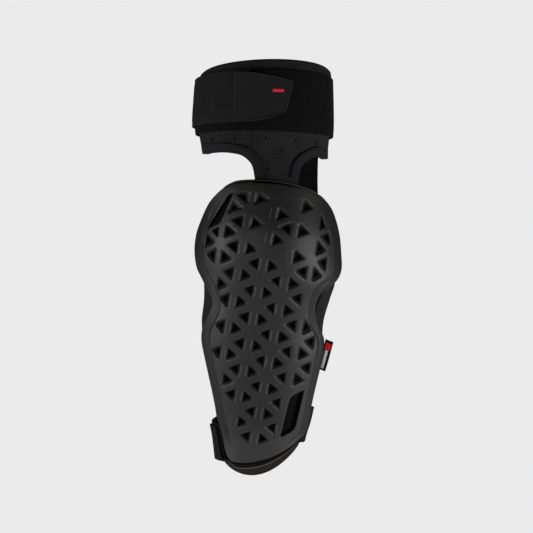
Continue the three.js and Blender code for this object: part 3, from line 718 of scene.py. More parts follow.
# The hem's lower edge. It drops by cosine^1.5 in front and rises by a sine on the right
def hemEdge(angle):
    return (-sleeveForm["hemBottom"] - sleeveForm["hemFrontDrop"] * front(angle) ** 1.5
            + sleeveForm["hemSideRise"] * np.sin(angle))


bandForm = {"start": 118, "end": 190, "thickness": 1.8, "radius": 0.8, "size": (56, 95), "counts": (24, 50),
            "reach": 52}


# Angle evenly from start to end. Height from the panel's top down to a clearance above the sleeve
def bandPlace(u, v):
    angle = np.radians(mix(bandForm["start"], bandForm["end"], u))
    return angle, mix(panelForm["top"], sleeveTop(angle) + clearance, v)


pieces["back_band"] = slab("backBand", bandPlace, 0, bandForm,
                           elastic("bandElastic", 2.2, (0.0015, 0.0015, 0.0012), (0.005, 0.005, 0.0045)))


# From the sleeve's top edge down to a clearance above the hem, between two side seams
def sleevePlace(start, end):
    def place(u, v):
        angle = mix(math.radians(start), math.radians(end), u)
        return angle, mix(sleeveTop(angle), hemEdge(angle) + sleeveForm["hemHeight"] + clearance, v)
    return place


sleeveKnit = knit("sleeveKnit", (0.002, 0.002, 0.0021), (0.034, 0.033, 0.034))
seam = sleeveForm["seam"]
pieces["sleeve_front"] = slab("sleeveFront", sleevePlace(-seam, seam), 0, {**sleeveForm, "size": (165, 215)},
                              sleeveKnit)
pieces["forearm_sleeve"] = slab("sleeveBack", sleevePlace(seam, 360 - seam), 0,
                                {**sleeveForm, "size": (130, 175)}, sleeveKnit)

hemForm = {"thickness": sleeveThickness + 0.3, "radius": 1.2, "size": (180, 10), "counts": (150, 8),
           "reach": 30}


# Angle all round from behind. Height from the hem's own height down to its lower edge
def hemPlace(u, v):
    angle = 2 * math.pi * u - math.pi
    return angle, hemEdge(angle) + sleeveForm["hemHeight"] * (1 - v)


hemJersey = jersey("hemJersey", (0.006, 0.0052, 0.005), (0.04, 0.0345, 0.0335))
pieces["sleeve_hem"] = slab("sleeveHem", hemPlace, 0, hemForm, hemJersey, True)
print("stage: panel, bindings, band, sleeve and hem")

# Pad, piping and shell
padForm = {"lift": sleeveThickness + clearance + 0.25, "thickness": 4.8, "radius": 2.2, "size": (125, 232),
           "counts": (70, 120), "reach": 55, "bulge": 7, "bulgeRise": 6, "bulgeLength": 48,
           "quilt": 0.15, "quiltTurn": 1.3}
shellForm = {"top": 72, "length": 234.5, "topArch": 2, "bottomArch": 6, "rim": 9, "topRim": 9,
             "bottomRim": 15, "lift": padForm["lift"] + padForm["thickness"] + clearance, "thickness": 2.6,
             "reach": 60}
shellFace = shellForm["lift"] + shellForm["thickness"]

# Chords across the shell: left drop, left, right drop, right, in shares of its length and of the half width
shellChords = np.array([
    (0.001, -0.43, 0.0165, 0.44), (0.015, -0.573, 0.034, 0.689), (0.038, -0.678, 0.055, 0.79),
    (0.066, -0.772, 0.084, 0.875), (0.129, -0.877, 0.128, 0.931), (0.173, -0.929, 0.173, 0.958),
    (0.229, -0.945, 0.228, 0.955), (0.288, -0.925, 0.288, 0.938), (0.321, -0.869, 0.329, 0.871),
    (0.347, -0.825, 0.347, 0.8), (0.378, -0.761, 0.365, 0.71), (0.405, -0.727, 0.387, 0.665),
    (0.437, -0.74, 0.419, 0.665), (0.472, -0.795, 0.468, 0.736), (0.503, -0.848, 0.502, 0.816),
    (0.548, -0.872, 0.53, 0.872), (0.608, -0.858, 0.57, 0.885), (0.69, -0.843, 0.66, 0.875),
    (0.8, -0.816, 0.78, 0.873), (0.877, -0.769, 0.86, 0.873), (0.94, -0.732, 0.892, 0.856),
    (0.973, -0.679, 0.905, 0.82), (0.992, -0.577, 0.915, 0.758),
])
# Drop, left and right width of the plain rim, in shares of the rim's width
shellRims = np.array([(0.0, 1.0, 1.5), (0.12, 0.9, 1.4), (0.25, 0.9, 1.1), (0.68, 0.95, 1.0),
                      (0.8, 1.35, 0.95), (0.95, 1.9, 0.95)])


# How far pad and shell stand proud over the elbow: a Gaussian down the arm times cos^2 of the angle
def bulge(angle, z):
    away = (z + arm["upperLength"] - padForm["bulgeRise"]) / padForm["bulgeLength"]
    return padForm["bulge"] * np.exp(-(away ** 2)) * np.cos(angle) ** 2


# Chords of the shell. Its shares are of the half width, so the angle is the share's arcsine
def shellPlace(u, v):
    return chordPlace(shellChords, np.arcsin, np.arcsin, shellForm["length"], -shellForm["top"],
                      shellForm["topArch"], shellForm["bottomArch"], u, v)


# Lap round a form's edge, against the clock as it is looked at, with its corners rounded by averaging
def outlineLap(place, count):
    t = np.linspace(0, 1, count, endpoint=False)
    zero = np.zeros(count)
    sides = [place(zero, t), place(t, zero + 1), place(zero + 1, 1 - t), place(1 - t, zero)]
    line = np.concatenate([np.stack([angle * shellForm["reach"], z], axis=1) for angle, z in sides])
    along = np.concatenate([[0], np.cumsum(np.hypot(*(np.roll(line, -1, axis=0) - line).T))])
    line = np.concatenate([line, line[:1]])
    even = np.linspace(0, along[-1], count, endpoint=False)
    line = np.stack([np.interp(even, along, line[:, axis]) for axis in range(2)], axis=1)
    for _ in range(6):
        line = (np.roll(line, 1, axis=0) + 2 * line + np.roll(line, -1, axis=0)) / 4
    return line


# The lap moved outwards by a distance, in the plane of angle * reach and height
def moved(line, distance):
    along = np.roll(line, -1, axis=0) - np.roll(line, 1, axis=0)
    along /= np.hypot(*along.T)[:, None]
    return line + np.stack([along[:, 1], -along[:, 0]], axis=1) * distance


lap = outlineLap(shellPlace, 460)
waist = {"z": -166, "spread": 17, "left": 4.4, "right": 6.0, "all": 1.0, "below": 0.8,
         "belowOver": (0.85, 1.0)}


# How far the pad stands out beside the shell: a Gaussian down the arm round the waist over an even border
def waistSpread(z, side):
    return waist["all"] + waist[side] * hump(z, waist["z"], waist["spread"])


# The shell's place, spread evenly from the left side's spread to the right's, and drawn down near its end
def padPlace(u, v):
    angle, z = shellPlace(u, v)
    spread = mix(-waistSpread(z, "left"), waistSpread(z, "right"), u)
    return angle + spread / shellForm["reach"], z - waist["below"] * smooth(*waist["belowOver"], v)


padLap = outlineLap(padPlace, 460)


# The pad's outer face: the bulge over the elbow and a quilted grain, a sine across times a sine down
def padRelief(angle, z, u, v):
    turn = padForm["quiltTurn"]
    quilt = np.sin(angle * shellForm["reach"] * turn) * np.sin(z * turn)
    return bulge(angle, z) + padForm["quilt"] * quilt


padMesh = diamondMesh("padMesh", 1.7, [], (0.004, 0.004, 0.004))
pieces["foam_pad"] = slab("foamPad", padPlace, padForm["lift"], padForm, padMesh, relief=padRelief)

# line is where round the tube its painted highlight runs, and pale is that highlight's colour
pipingForm = {"radius": 1.35, "gap": 0.1, "lift": padForm["lift"] + 1.9, "around": 12, "line": 1.3,
              "dark": (0.0095, 0.0092, 0.0092), "pale": (0.11, 0.106, 0.104), "stitch": (0.7, 1.3)}


# Tube along the pad's edge: its section is a circle of the piping's radius, a gap off that edge
def makePiping():
    turn = np.linspace(0, 2 * math.pi, pipingForm["around"] + 1)
    radius = pipingForm["radius"]
    rings = [moved(padLap, pipingForm["gap"] + radius + radius * math.cos(t)) for t in turn]
    flatPlaces = np.stack(rings, axis=1)
    lifts = pipingForm["lift"] + radius * np.sin(turn)[None, :]
    outer = onArm(flatPlaces[..., 0] / shellForm["reach"], flatPlaces[..., 1], lifts)
    rows, columns = outer.shape[0], pipingForm["around"]
    r, c = (grid.ravel() for grid in np.meshgrid(np.arange(rows), np.arange(columns), indexing="ij"))
    nextRow, nextColumn = (r + 1) % rows, (c + 1) % columns
    faces = np.stack([r * columns + c, nextRow * columns + c, nextRow * columns + nextColumn,
                      r * columns + nextColumn], axis=1)
    corners = ((0, 0), (0, 1), (1, 1), (1, 0))
    uv = np.stack([np.stack([c + across, r + along], axis=1) for across, along in corners], axis=1)
    uv = uv * pipingForm["stitch"] * mm
    cover = cordCover("pipingTape", pipingForm["line"], pipingForm["dark"], pipingForm["pale"])
    return addMesh("padPiping", outer[:, :columns].reshape(-1, 3), faces, uv, cover)


pieces["pad_binding"] = makePiping()
print("stage: pad and piping")

lattice = {"pitch": 21.9, "lean": 10.6, "rib": 7, "hubX": 4, "hubZ": -shellForm["top"] - 133.2,
           "smallest": 0.3, "slotRib": 0.5, "sideStart": 35, "sideShrink": 0.7, "topStart": 46,
           "topShrink": 0.915, "ridge": 2.3, "across": 75, "bottom": -310, "top": -70}
# The shell's tones: its face from cloud to cloud, painted shade near its top and painted light at its lower
# end between those heights, its rim, its rubbed edges and painted highlight lines, and painted shade on its
# lip and the walls of its holes
shellTones = {"face": (0.015, 0.0155, 0.0165), "cloud": (0.021, 0.0215, 0.0225),
              "top": (0.0095, 0.0098, 0.0105), "topShadeHeights": (-165.0, -85.0),
              "end": (0.034, 0.0345, 0.035), "endLightHeights": (-262.0, -292.0),
              "rim": (0.0118, 0.011, 0.0101), "rubbed": (0.06, 0.06, 0.062), "paintedShadeTone": (0.0065, 0.0058, 0.0052)}
# The two slots' corners and the middles of the cells that stay closed, as shares of the elbow's half width
# and of the shell's length
upperSlot = [(-0.499, 0.03), (-0.582, 0.041), (-0.915, 0.153), (-0.706, 0.131), (-0.663, 0.11)]
lowerSlot = [(0.585, 0.72), (0.39, 0.739), (0.35, 0.757), (0.21, 0.89), (0.4, 0.868), (0.45, 0.854)]
closedCells = [(0.385, 0.068), (-0.02, 0.098), (0.673, 0.124), (-0.096, 0.183), (0.615, 0.213), (0.23, 0.243),
               (-0.92, 0.281), (-0.81, 0.529)]


# Across in the front view: centre + (half width + face + bulge) sin angle
def frontX(angle, z):
    side, _, halfWidth, _ = armAt(z)
    return side + (halfWidth + shellFace + bulge(angle, z)) * np.sin(angle)


# Angle of a place that is given in the front view, by repeating sine = offset / half width with its own bulge
def angleOf(x, z, sink):
    side, _, halfWidth, _ = armAt(z)
    angle = np.zeros_like(x)
    for _ in range(12):
        radius = halfWidth + shellFace + bulge(angle, z) - sink
        angle = np.arcsin(np.clip((x - side) / radius, -0.999, 0.999))
    return angle


# A point on a bounding line and the direction that is kept, as seen from inside
def keepLine(first, second, distance, inside):
    along = (second - first) / np.hypot(*(second - first))
    normal = np.array([-along[1], along[0]])
    middle = (first + second) / 2
    if normal @ (inside - middle) < 0:
        normal = -normal
    return middle + normal * distance, normal


# What of an outline lies on a line's kept side, with a corner wherever an edge crosses the line
def clip(outline, line):
    point, normal = line
    kept = []
    for here, after in zip(outline, np.roll(outline, -1, axis=0)):
        a, b = (here - point) @ normal, (after - point) @ normal
        if a >= 0:
            kept.append(here)
        if (a >= 0) != (b >= 0):
            kept.append(here + (after - here) * a / (a - b))
    return np.array(kept).reshape(-1, 2)


# Half of the sum of x times next z less next x times z
def areaOf(outline):
    x, z = outline.T
    return 0.5 * abs(np.sum(x * np.roll(z, -1) - np.roll(x, -1) * z))


# The lines that bound the lattice near a place: both sides of the shell beside it and the shell's two ends,
# each moved inwards by the rim there
def latticeBounds(center):
    drop = float(np.clip((-shellForm["top"] - center[1]) / shellForm["length"], 0.01, 0.99))
    lines = []
    for dropColumn, column, rimColumn in ((0, 1, 1), (2, 3, 2)):
        ends = []
        for share in (drop - 0.01, drop + 0.01):
            angle = np.arcsin(curve(shellChords[:, dropColumn], shellChords[:, column], share))
            z = -shellForm["top"] - shellForm["length"] * share
            ends.append(np.array([float(frontX(angle, z)), z]))
        rim = shellForm["rim"] * float(curve(shellRims[:, 0], shellRims[:, rimColumn], drop))
        lines.append(keepLine(ends[0], ends[1], rim, np.array([0, center[1]])))
    for down, rim in ((0.0, shellForm["topRim"]), (1.0, shellForm["bottomRim"])):
        ends = []
        for across in (0.3, 0.7):
            angle, z = shellPlace(np.array(across), np.array(down))
            ends.append(np.array([float(frontX(angle, z)), float(z)]))
        lines.append(keepLine(ends[0], ends[1], rim, center))
    return lines


# Places in the front view from those shares
def frontPlaces(places):
    return np.array([(across * girths["elbow"][0] / 2, -shellForm["top"] - shellForm["length"] * drop)
                     for across, drop in places])


slotOutlines = [frontPlaces(upperSlot), frontPlaces(lowerSlot)]
closedMiddles = frontPlaces(closedCells)


# Nearest side of a slot, moved off it by a rib
def slotBound(outline, center):
    heart = outline.mean(axis=0)
    lines = []
    for first, second in zip(outline, np.roll(outline, -1, axis=0)):
        point, normal = keepLine(first, second, 0, heart)
        lines.append((point - lattice["slotRib"] * lattice["rib"] * normal, -normal))
    return max(lines, key=lambda line: (center - line[0]) @ line[1])


# Places with what is past a line beside the middle, or past one near the top, times a scale
def scaledPast(points, sideScale, topScale):
    past = np.maximum(0, np.abs(points[:, 0]) - lattice["sideStart"])
    above = np.maximum(0, points[:, 1] + shellForm["top"] + lattice["topStart"])
    return np.stack([points[:, 0] + np.sign(points[:, 0]) * past * (sideScale - 1),
                     points[:, 1] + above * (topScale - 1)], axis=1)


# From the even pattern to the one drawn together towards the sides and the top
def drawnTogether(points):
    return scaledPast(points, lattice["sideShrink"], lattice["topShrink"])


# Places of the front view in the even pattern, near enough to the reverse of that
def evenPattern(points):
    return scaledPast(points, 1 / lattice["sideShrink"], 1 / lattice["topShrink"])


# Outlines of the lattice's holes in the front view: a grid of triangles, clipped at the rim and the slots
def latticeHoles():
    lean = math.radians(lattice["lean"])
    down = np.array([-math.sin(lean), -math.cos(lean)]) * lattice["pitch"]
    c, s = math.cos(math.radians(60)), math.sin(math.radians(60))
    across = np.array([c * down[0] - s * down[1], s * down[0] + c * down[1]])
    hub = np.array([lattice["hubX"], lattice["hubZ"]])
    side = lattice["pitch"] - math.sqrt(3) * lattice["rib"]
    whole = math.sqrt(3) / 4 * side ** 2
    steps = math.ceil(shellForm["length"] / lattice["pitch"])
    holes = []
    for i in range(-steps, steps + 1):
        for j in range(-steps, steps + 1):
            node = hub + down * i + across * j
            for corner in (node, node + down + across):
                cell = drawnTogether(np.array([corner, node + down, node + across]))
                center = cell.mean(axis=0)
                isClosed = np.min(np.hypot(*(closedMiddles - center).T)) < lattice["rib"] / 2
                isBeside = abs(center[0]) > lattice["across"]
                if isClosed or isBeside or not lattice["bottom"] < center[1] < lattice["top"]:
                    continue
                outline = center + (cell - center) * side / lattice["pitch"]
                bounds = latticeBounds(center) + [slotBound(slot, center) for slot in slotOutlines]
                for line in bounds:
                    outline = clip(outline, line) if len(outline) > 2 else outline
                if len(outline) > 2 and areaOf(outline) > lattice["smallest"] * whole:
                    holes.append(outline)
    return holes


# A loop of evenly spaced points along an outline, its corners rounded by averaging, against the clock
def rounded(outline, count, passes):
    x, z = outline.T
    if np.sum(x * np.roll(z, -1) - np.roll(x, -1) * z) < 0:
        outline = outline[::-1]
    line = np.concatenate([outline, outline[:1]])
    along = np.concatenate([[0], np.cumsum(np.hypot(*np.diff(line, axis=0).T))])
    even = np.linspace(0, along[-1], count, endpoint=False)
    loop = np.stack([np.interp(even, along, line[:, axis]) for axis in range(2)], axis=1)
    for _ in range(passes):
        loop = (np.roll(loop, 1, axis=0) + 2 * loop + np.roll(loop, -1, axis=0)) / 4
    return loop


# How far the wall of a hole is moved outwards, and how far below the face, from the face to the back
holeWall = [(1.1, 0.0), (0.8, 0.1), (0.3, 0.45), (-0.55, 1.3), (-1.35, 2.2), (-1.3, 2.6)]
slotWall = [(0.5, 0.0), (0.25, 0.12), (0.05, 0.4), (-0.1, 1.3), (-0.2, 2.3), (-0.1, 2.6)]
# The same for the shell's edge, whose lip is a step lower: first the share of the lip's width that is inside
edgeWall = [(1.0, -0.9, 0.0), (1.0, -0.4, 0.12), (1.0, -0.1, 0.45), (1.0, 0.0, 0.95), (0.4, -0.1, 1.05),
            (0.0, -0.3, 1.15), (0.0, 0.0, 1.6), (0.0, -0.1, 2.2), (0.0, -0.6, 2.6)]
lip = {"top": 0.3, "bottom": 2.4, "from": -120, "to": -280}
# The rim's width at the left and the right, the places across between which it changes from the one to the
# other, and the heights between which it fades at the top and the bottom.
# The rest lies at distances past its crease, inwards: the lines of points along it, the rise of the field
# inside it, the rim's dip, the pale rubbed line, which is partly a painted highlight, and the rim's own tone
crease = {"left": 9.2, "right": 7.6, "sideOver": (-20, 20), "topFade": (-85, -115),
          "bottomFade": (-300, -275), "steps": (-1.5, -0.95, -0.4, 0.2), "rise": 0.9, "riseOver": (-1.5, 0.2),
          "dip": 0.45, "dipAt": (-2.2, 1.3), "rubbed": 1.6, "rubbedAt": (0.1, 0.5), "toneOver": (0.1, -0.9),
          "toneFade": (-297, -270)}
# The lattice's fine lines are painted highlight lines beside the ribs
patternOver = (7.5, 5.0)  # distance from the nearest hole over which the lattice's fine lines come in
# Points along each hole and slot, rounds of averaging at their corners, how far a hole's rings may shrink or
# grow as shares, and how far they are drawn down for each millimetre of depth times the face's lean
wallForm = {"hole": (30, 2, holeWall), "slot": (72, 2, slotWall), "shrink": -0.6, "grow": 0.36, "draw": 1.3}
# The face's grid: its rows' distance, and how far it stays from the walls and the creases, as shares of the
# spacing
faceGrid = {"spacing": 1.5, "row": 0.866, "fromWalls": 0.5, "fromAll": 0.55, "across": 80, "bottom": -310,
            "top": -68}
# How rubbed and how shaded the walls are: pale rubbed edges, partly painted highlight, down to a depth, and
# painted shade from a depth on and over a stretch of the lip
wallTones = {"rubbed": 0.6, "rubbedTo": 0.2, "darkAt": 2.1, "lipDark": (0.9, 1.5)}


# The lip's width, from its value at the top to that at the bottom, smoothly
def lipWidth(z):
    return mix(lip["top"], lip["bottom"], smooth(lip["from"], lip["to"], z))


# How much further back the shell's front lies a millimetre higher up
def leanAt(z):
    side, back, _, halfDepth = armAt(np.array([z - 1, z + 1]))
    face = back - halfDepth - bulge(0, np.array([z - 1, z + 1]))
    return (face[1] - face[0]) / 2


# Distance from each place to the nearest of the others
def farFrom(places, others):
    return np.concatenate([np.min(np.hypot(part[:, None, 0] - others[None, :, 0],
                                           part[:, None, 1] - others[None, :, 1]), axis=1)
                           for part in np.array_split(places, 16)])


# Width of the rim in the front view
def rimWidth(x):
    return mix(crease["left"], crease["right"], smooth(*crease["sideOver"], x))


# The lap in the front view, moved inwards to the rim's crease, without the points that lie nearer to another
# stretch of it, and back in the plane of angle * reach and height
def creasePoints(frontLap, step):
    distance = rimWidth(frontLap[:, 0]) + step
    line = moved(frontLap, -distance[:, None])
    line = line[np.abs(farFrom(line, frontLap) - distance) < 0.25]
    return np.stack([angleOf(line[:, 0], line[:, 1], 0) * shellForm["reach"], line[:, 1]], axis=1)


# True for points with an odd number of the loop's edges to their right
def insideLoop(points, loop):
    a, b = loop, np.roll(loop, -1, axis=0)
    x, y = points[:, None, 0], points[:, None, 1]
    spans = (a[None, :, 1] > y) != (b[None, :, 1] > y)
    rise = np.where(b[:, 1] == a[:, 1], 1e-9, b[:, 1] - a[:, 1])
    cross = a[None, :, 0] + (y - a[None, :, 1]) / rise[None] * (b[:, 0] - a[:, 0])[None]
    return (spans & (x < cross)).sum(axis=1) % 2 == 1


# Rings of places down the wall of a hole, each with its depth: the outline times 1 + grow / inradius about
# its middle, and moved down where the face leans back, so that the wall stays upright to the face
def wallRings(outline, count, passes, wall):
    loop = rounded(outline, count, passes)
    heart = loop.mean(axis=0)
    edge = np.roll(loop, -1, axis=0) - loop
    inradius = np.min(np.abs(edge[:, 0] * (heart[1] - loop[:, 1]) - edge[:, 1] * (heart[0] - loop[:, 0]))
                      / np.hypot(*edge.T))
    rings = []
    for grow, sink in wall:
        scale = 1 + np.clip(grow / inradius, wallForm["shrink"], wallForm["grow"])
        ring = heart + (loop - heart) * scale - [0, wallForm["draw"] * sink * leanAt(heart[1])]
        angle = angleOf(ring[:, 0], ring[:, 1], sink)
        rings.append((np.stack([angle * shellForm["reach"], ring[:, 1]], axis=1), sink))
    return rings


# Points that fill the face: the crease's lines, and a triangular grid inside the edge and clear of the rest
def fillPoints(face, frontLap):
    spacing = faceGrid["spacing"]
    xs, zs = np.meshgrid(np.arange(-faceGrid["across"], faceGrid["across"], spacing),
                         np.arange(faceGrid["bottom"], faceGrid["top"], spacing * faceGrid["row"]))
    xs[::2] += spacing / 2
    grid = np.stack([xs.ravel(), zs.ravel()], axis=1)
    grid = grid[insideLoop(grid, face[0])]
    walls = np.concatenate(face)
    creases = np.concatenate([creasePoints(frontLap, step) for step in crease["steps"]])
    creases = creases[farFrom(creases, walls) > faceGrid["fromWalls"] * spacing]
    grid = grid[farFrom(grid, np.concatenate([walls, creases])) > faceGrid["fromAll"] * spacing]
    return np.concatenate([creases, grid])


# Constrained triangulation of the face between its loops, without the holes, as numbers of the given points
def faceTriangles(flat, starts):
    rings = [list(range(start, end)) for start, end in zip(starts[:-1], starts[1:])]
    result = delaunay_2d_cdt([tuple(map(float, place)) for place in flat], [], rings, 1, 1e-5)
    triangles, origins, owners = result[2], result[3], result[5]
    kept = np.array([triangle for triangle, owner in zip(triangles, owners) if list(owner) == [0]])
    source = np.array([origin[0] if origin else -1 for origin in origins])
    print("shell: points", len(flat), "triangles", len(kept), "unmatched", int((source < 0).sum()))
    return source[kept]


# The shell's points with their places in the front view and their attributes, gathered part by part
class ShellPoints:
    def __init__(self):
        self.total = 0
        self.points, self.fronts = [], []
        self.attributes = {"rubbed": [], "sunken": [], "pattern": [], "rim": []}

    # Adds points at a lift off the arm and returns their numbers
    def add(self, angle, z, lift, **values):
        self.points.append(onArm(angle, z, lift))
        self.fronts.append(np.stack([frontX(angle, z), z], axis=1))
        for key, rows in self.attributes.items():
            rows.append(np.broadcast_to(values.get(key, 0.0), z.shape))
        self.total += len(z)
        return np.arange(self.total - len(z), self.total)


# Two triangles between each two points of a ring and of the next one
def ringTriangles(upper, lower, isEdge):
    a, b, c, d = upper, np.roll(upper, -1), np.roll(lower, -1), lower
    quad = [b, a, d, c] if isEdge else [a, b, c, d]
    return [np.stack([quad[0], quad[1], quad[2]], axis=1), np.stack([quad[0], quad[2], quad[3]], axis=1)]


# The shell's body: the triangulated face, the same one behind it, and walls of rings along every loop
def makeShell():
    reach = shellForm["reach"]
    outlines = [(hole, *wallForm["hole"]) for hole in latticeHoles()]
    outlines += [(slot, *wallForm["slot"]) for slot in slotOutlines]
    edge = [(moved(lap, grow - share * lipWidth(lap[:, 1:])), sink) for share, grow, sink in edgeWall]
    loops = [edge] + [wallRings(*outline) for outline in outlines]
    face = [rings[0][0] for rings in loops]
    starts = np.cumsum([0] + [len(loop) for loop in face])
    frontLap = np.stack([frontX(lap[:, 0] / reach, lap[:, 1]), lap[:, 1]], axis=1)
    flat = np.concatenate(face + [fillPoints(face, frontLap)])
    triangles = faceTriangles(flat, starts)

    # The field inside the rim stands proud of the plain form, and the rim dips a little
    angle, z = flat[:, 0] / reach, flat[:, 1]
    inFront = np.stack([frontX(angle, z), z], axis=1)
    past = farFrom(inFront, frontLap) - rimWidth(inFront[:, 0])
    shown = smooth(*crease["topFade"], z) * smooth(*crease["bottomFade"], z)
    field = crease["rise"] * smooth(*crease["riseOver"], past)
    height = shown * (field - crease["dip"] * hump(past, *crease["dipAt"]))
    isOnLoop = np.arange(len(flat)) < starts[-1]
    shell = ShellPoints()
    # The crease's pale rubbed line and every loop's edge are pale, partly as a painted highlight
    shell.add(angle, z, shellFace + bulge(angle, z) + height,
              rubbed=np.maximum(crease["rubbed"] * shown * hump(past, *crease["rubbedAt"]), isOnLoop),
              pattern=smooth(*patternOver, farFrom(flat, np.concatenate(face[1:]))),
              rim=smooth(*crease["toneOver"], past) * smooth(*crease["toneFade"], z))

    faces = [triangles]
    behind = np.full(len(flat), -1)
    for number, rings in enumerate(loops):
        isEdge = number == 0
        previous = np.arange(starts[number], starts[number + 1])
        rise = height[previous]
        for places, sink in rings[1:]:
            angle, z = places[:, 0] / reach, places[:, 1]
            lift = shellFace + bulge(angle, z) - sink + rise * (1 - sink / shellForm["thickness"])
            # The walls' tops near the face are pale rubbed edges, partly painted highlight
            rubbed = wallTones["rubbed"] * float(sink < wallTones["rubbedTo"])
            low, high = wallTones["lipDark"]
            # Painted shade: the lip's groove and the deeper walls of the holes darker
            sunken = float(low < sink < high) if isEdge else min(1.0, sink / wallTones["darkAt"])
            current = shell.add(angle, z, lift, rubbed=rubbed, pattern=1.0, sunken=sunken, rim=float(isEdge))
            faces += ringTriangles(previous, current, isEdge)
            previous = current
        behind[starts[number]:starts[number + 1]] = previous
    angle, z = flat[starts[-1]:, 0] / reach, flat[starts[-1]:, 1]
    behind[starts[-1]:] = shell.add(angle, z, shellForm["lift"] + bulge(angle, z))
    faces = np.concatenate(faces + [behind[triangles][:, ::-1]])
    uv = evenPattern(np.concatenate(shell.fronts))[faces] * mm
    piece = addMesh("latticeShell", np.concatenate(shell.points), faces, uv,
                    shellPlastic("shellPlastic", lattice, shellTones))
    for key, rows in shell.attributes.items():
        attribute = piece.data.attributes.new(key, "FLOAT", "POINT")
        attribute.data.foreach_set("value", np.concatenate(rows).astype(np.float32))
    return piece


pieces["shell"] = makeShell()
print("stage: shell")

# Forearm strap and label
lowerStrap = {"height": 31, "left": 286.5, "right": 271.5, "thickness": 4, "radius": 1.2, "size": (150, 31),
              "counts": (110, 18), "reach": 42, "piping": 2.2, "slope": 1.25, "endTurn": 2}
strapEnd = {"height": 30, "drop": 1.5, "span": 62, "thickness": 1.8, "radius": 0.8, "size": (38, 30),
            "counts": (30, 18), "reach": 42, "lift": padForm["lift"] + lowerStrap["thickness"] + clearance}


# Angle of the shell's edge at a height, moved outwards past the piping
def besidePad(side, z):
    dropColumn, column, outward = {"left": (0, 1, -1), "right": (2, 3, 1)}[side]
    share = (-shellForm["top"] - z) / shellForm["length"]
    past = lowerStrap["piping"] + 4 * clearance
    edge = np.arcsin(curve(shellChords[:, dropColumn], shellChords[:, column], share))
    return edge + outward * lowerStrap["slope"] * past / armAt(z)[2]


# From beside the pad on the left, round behind, to beside it on the right. The height goes evenly from the
# left's to the right's, with the strap's own height across it
def lowerStrapPlace(u, v):
    z = -mix(lowerStrap["left"], lowerStrap["right"], u) - lowerStrap["height"] * (v - 0.5)
    return mix(besidePad("left", z), besidePad("right", z) - 2 * math.pi, u), z


# A level layer whose angle starts beside the pad and goes on evenly round the left side
def strapEndPlace(u, v):
    z = -lowerStrap["left"] - strapEnd["drop"] - strapEnd["height"] * (v - 0.5)
    return besidePad("left", z) - np.radians(lowerStrap["endTurn"] + strapEnd["span"] * u), z


strapCloth = elastic("forearmElastic", 2.4, (0.003, 0.003, 0.003), (0.016, 0.016, 0.0165))
pieces["forearm_strap"] = slab("forearmStrap", lowerStrapPlace, padForm["lift"], lowerStrap, strapCloth)
pieces["forearm_strap_end"] = slab("forearmStrapEnd", strapEndPlace, strapEnd["lift"], strapEnd, strapCloth)

labelForm = {"drop": 211, "size": (7.2, 27), "thickness": 1.2, "radius": 0.6, "piping": 3.6, "tilt": 8.5,
             "outward": 0.3, "curl": 0.5, "pipingShare": 0.57, "edge": 0.98,
             "blocks": [((0.3, 2.5), (8.3, 2.9)), ((0.2, 1.25), (-3.4, 8.2))]}


# A thin plate in the plane of the arm's outward and upward directions at the shell's right edge
def makeLabel():
    foot = padForm["lift"] + labelForm["piping"] + clearance
    width, height = labelForm["size"]

    def at(z, lift):
        share = (-shellForm["top"] - z) / shellForm["length"]
        past = clearance + labelForm["pipingShare"] * lowerStrap["piping"]
        edge = np.arcsin(curve(shellChords[:, 2], shellChords[:, 3], share)) + past / armAt(z)[2]
        return onArm(edge, np.array(z), lift) / mm

    top, bottom = -labelForm["drop"] + height / 2, -labelForm["drop"] - height / 2
    high, low = at(top, foot), at(bottom, foot)
    out = at(-labelForm["drop"], foot + 1) - at(-labelForm["drop"], foot)
    up = (high - low) / np.linalg.norm(high - low)
    through = np.cross(up, out)
    through /= np.linalg.norm(through)
    along = np.cross(through, up)
    center = (high + low) / 2 + along * (width / 2 + 2 * clearance + labelForm["outward"])
    tilt = math.radians(labelForm["tilt"])
    up, along = up * math.cos(tilt) + along * math.sin(tilt), along * math.cos(tilt) - up * math.sin(tilt)
    u, v = np.meshgrid(spaced(10, width, labelForm["radius"]), spaced(30, height, labelForm["radius"]))
    away = np.minimum(np.minimum(u, 1 - u) * width, np.minimum(v, 1 - v) * height)
    arc = np.sqrt(1 - (1 - np.clip(away / labelForm["radius"], 0, 1)) ** 2 * labelForm["edge"])
    offset = (labelForm["thickness"] / 2 * arc)[..., None] * through
    bend = (labelForm["curl"] * np.sin(v * math.pi) * u ** 2)[..., None] * through
    flat = np.stack([(u - 0.5) * width, (0.5 - v) * height], axis=-1)
    plane = center + flat[..., :1] * along + flat[..., 1:] * up + bend
    weave = wovenLabel("labelWeave", labelForm["blocks"], (0.008, 0.008, 0.0085), (1.0, 0.025, 0.055),
                       (0.97, 0.97, 0.97))
    return layered("sideLabel", (plane + offset) * mm, (plane - offset) * mm, flat * mm, weave)


pieces["side_label"] = makeLabel()
print("stage: straps and label")

# Bodies: each piece on the root body, with the imported part of the same name hidden
for node, piece in pieces.items():
    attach(piece, "root")
    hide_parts(node)
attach(redBar, "root")


# Flat area in square metres: half of the piece's whole surface
def areaOfSheet(piece):
    areas = np.zeros(len(piece.data.polygons))
    piece.data.polygons.foreach_get("area", areas)
    return float(areas.sum() / 2)


# Width and length of the rectangle that each sheet is cut from, in metres
cuts = {"elbow_panel": (0.196, 0.052), "sleeve_front": (0.168, 0.224), "forearm_sleeve": (0.132, 0.182)}
for node, flat in cuts.items():
    area = areaOfSheet(pieces[node])
    print("sheet", node, "area", round(area, 5), "share of its cut", round(area / flat[0] / flat[1], 3))

# Floor and light
studio = {"floor": -0.8, "floorSize": 6.0, "pale": 0.83, "dim": 0.045, "glow": 0.32, "paper": 0.35}


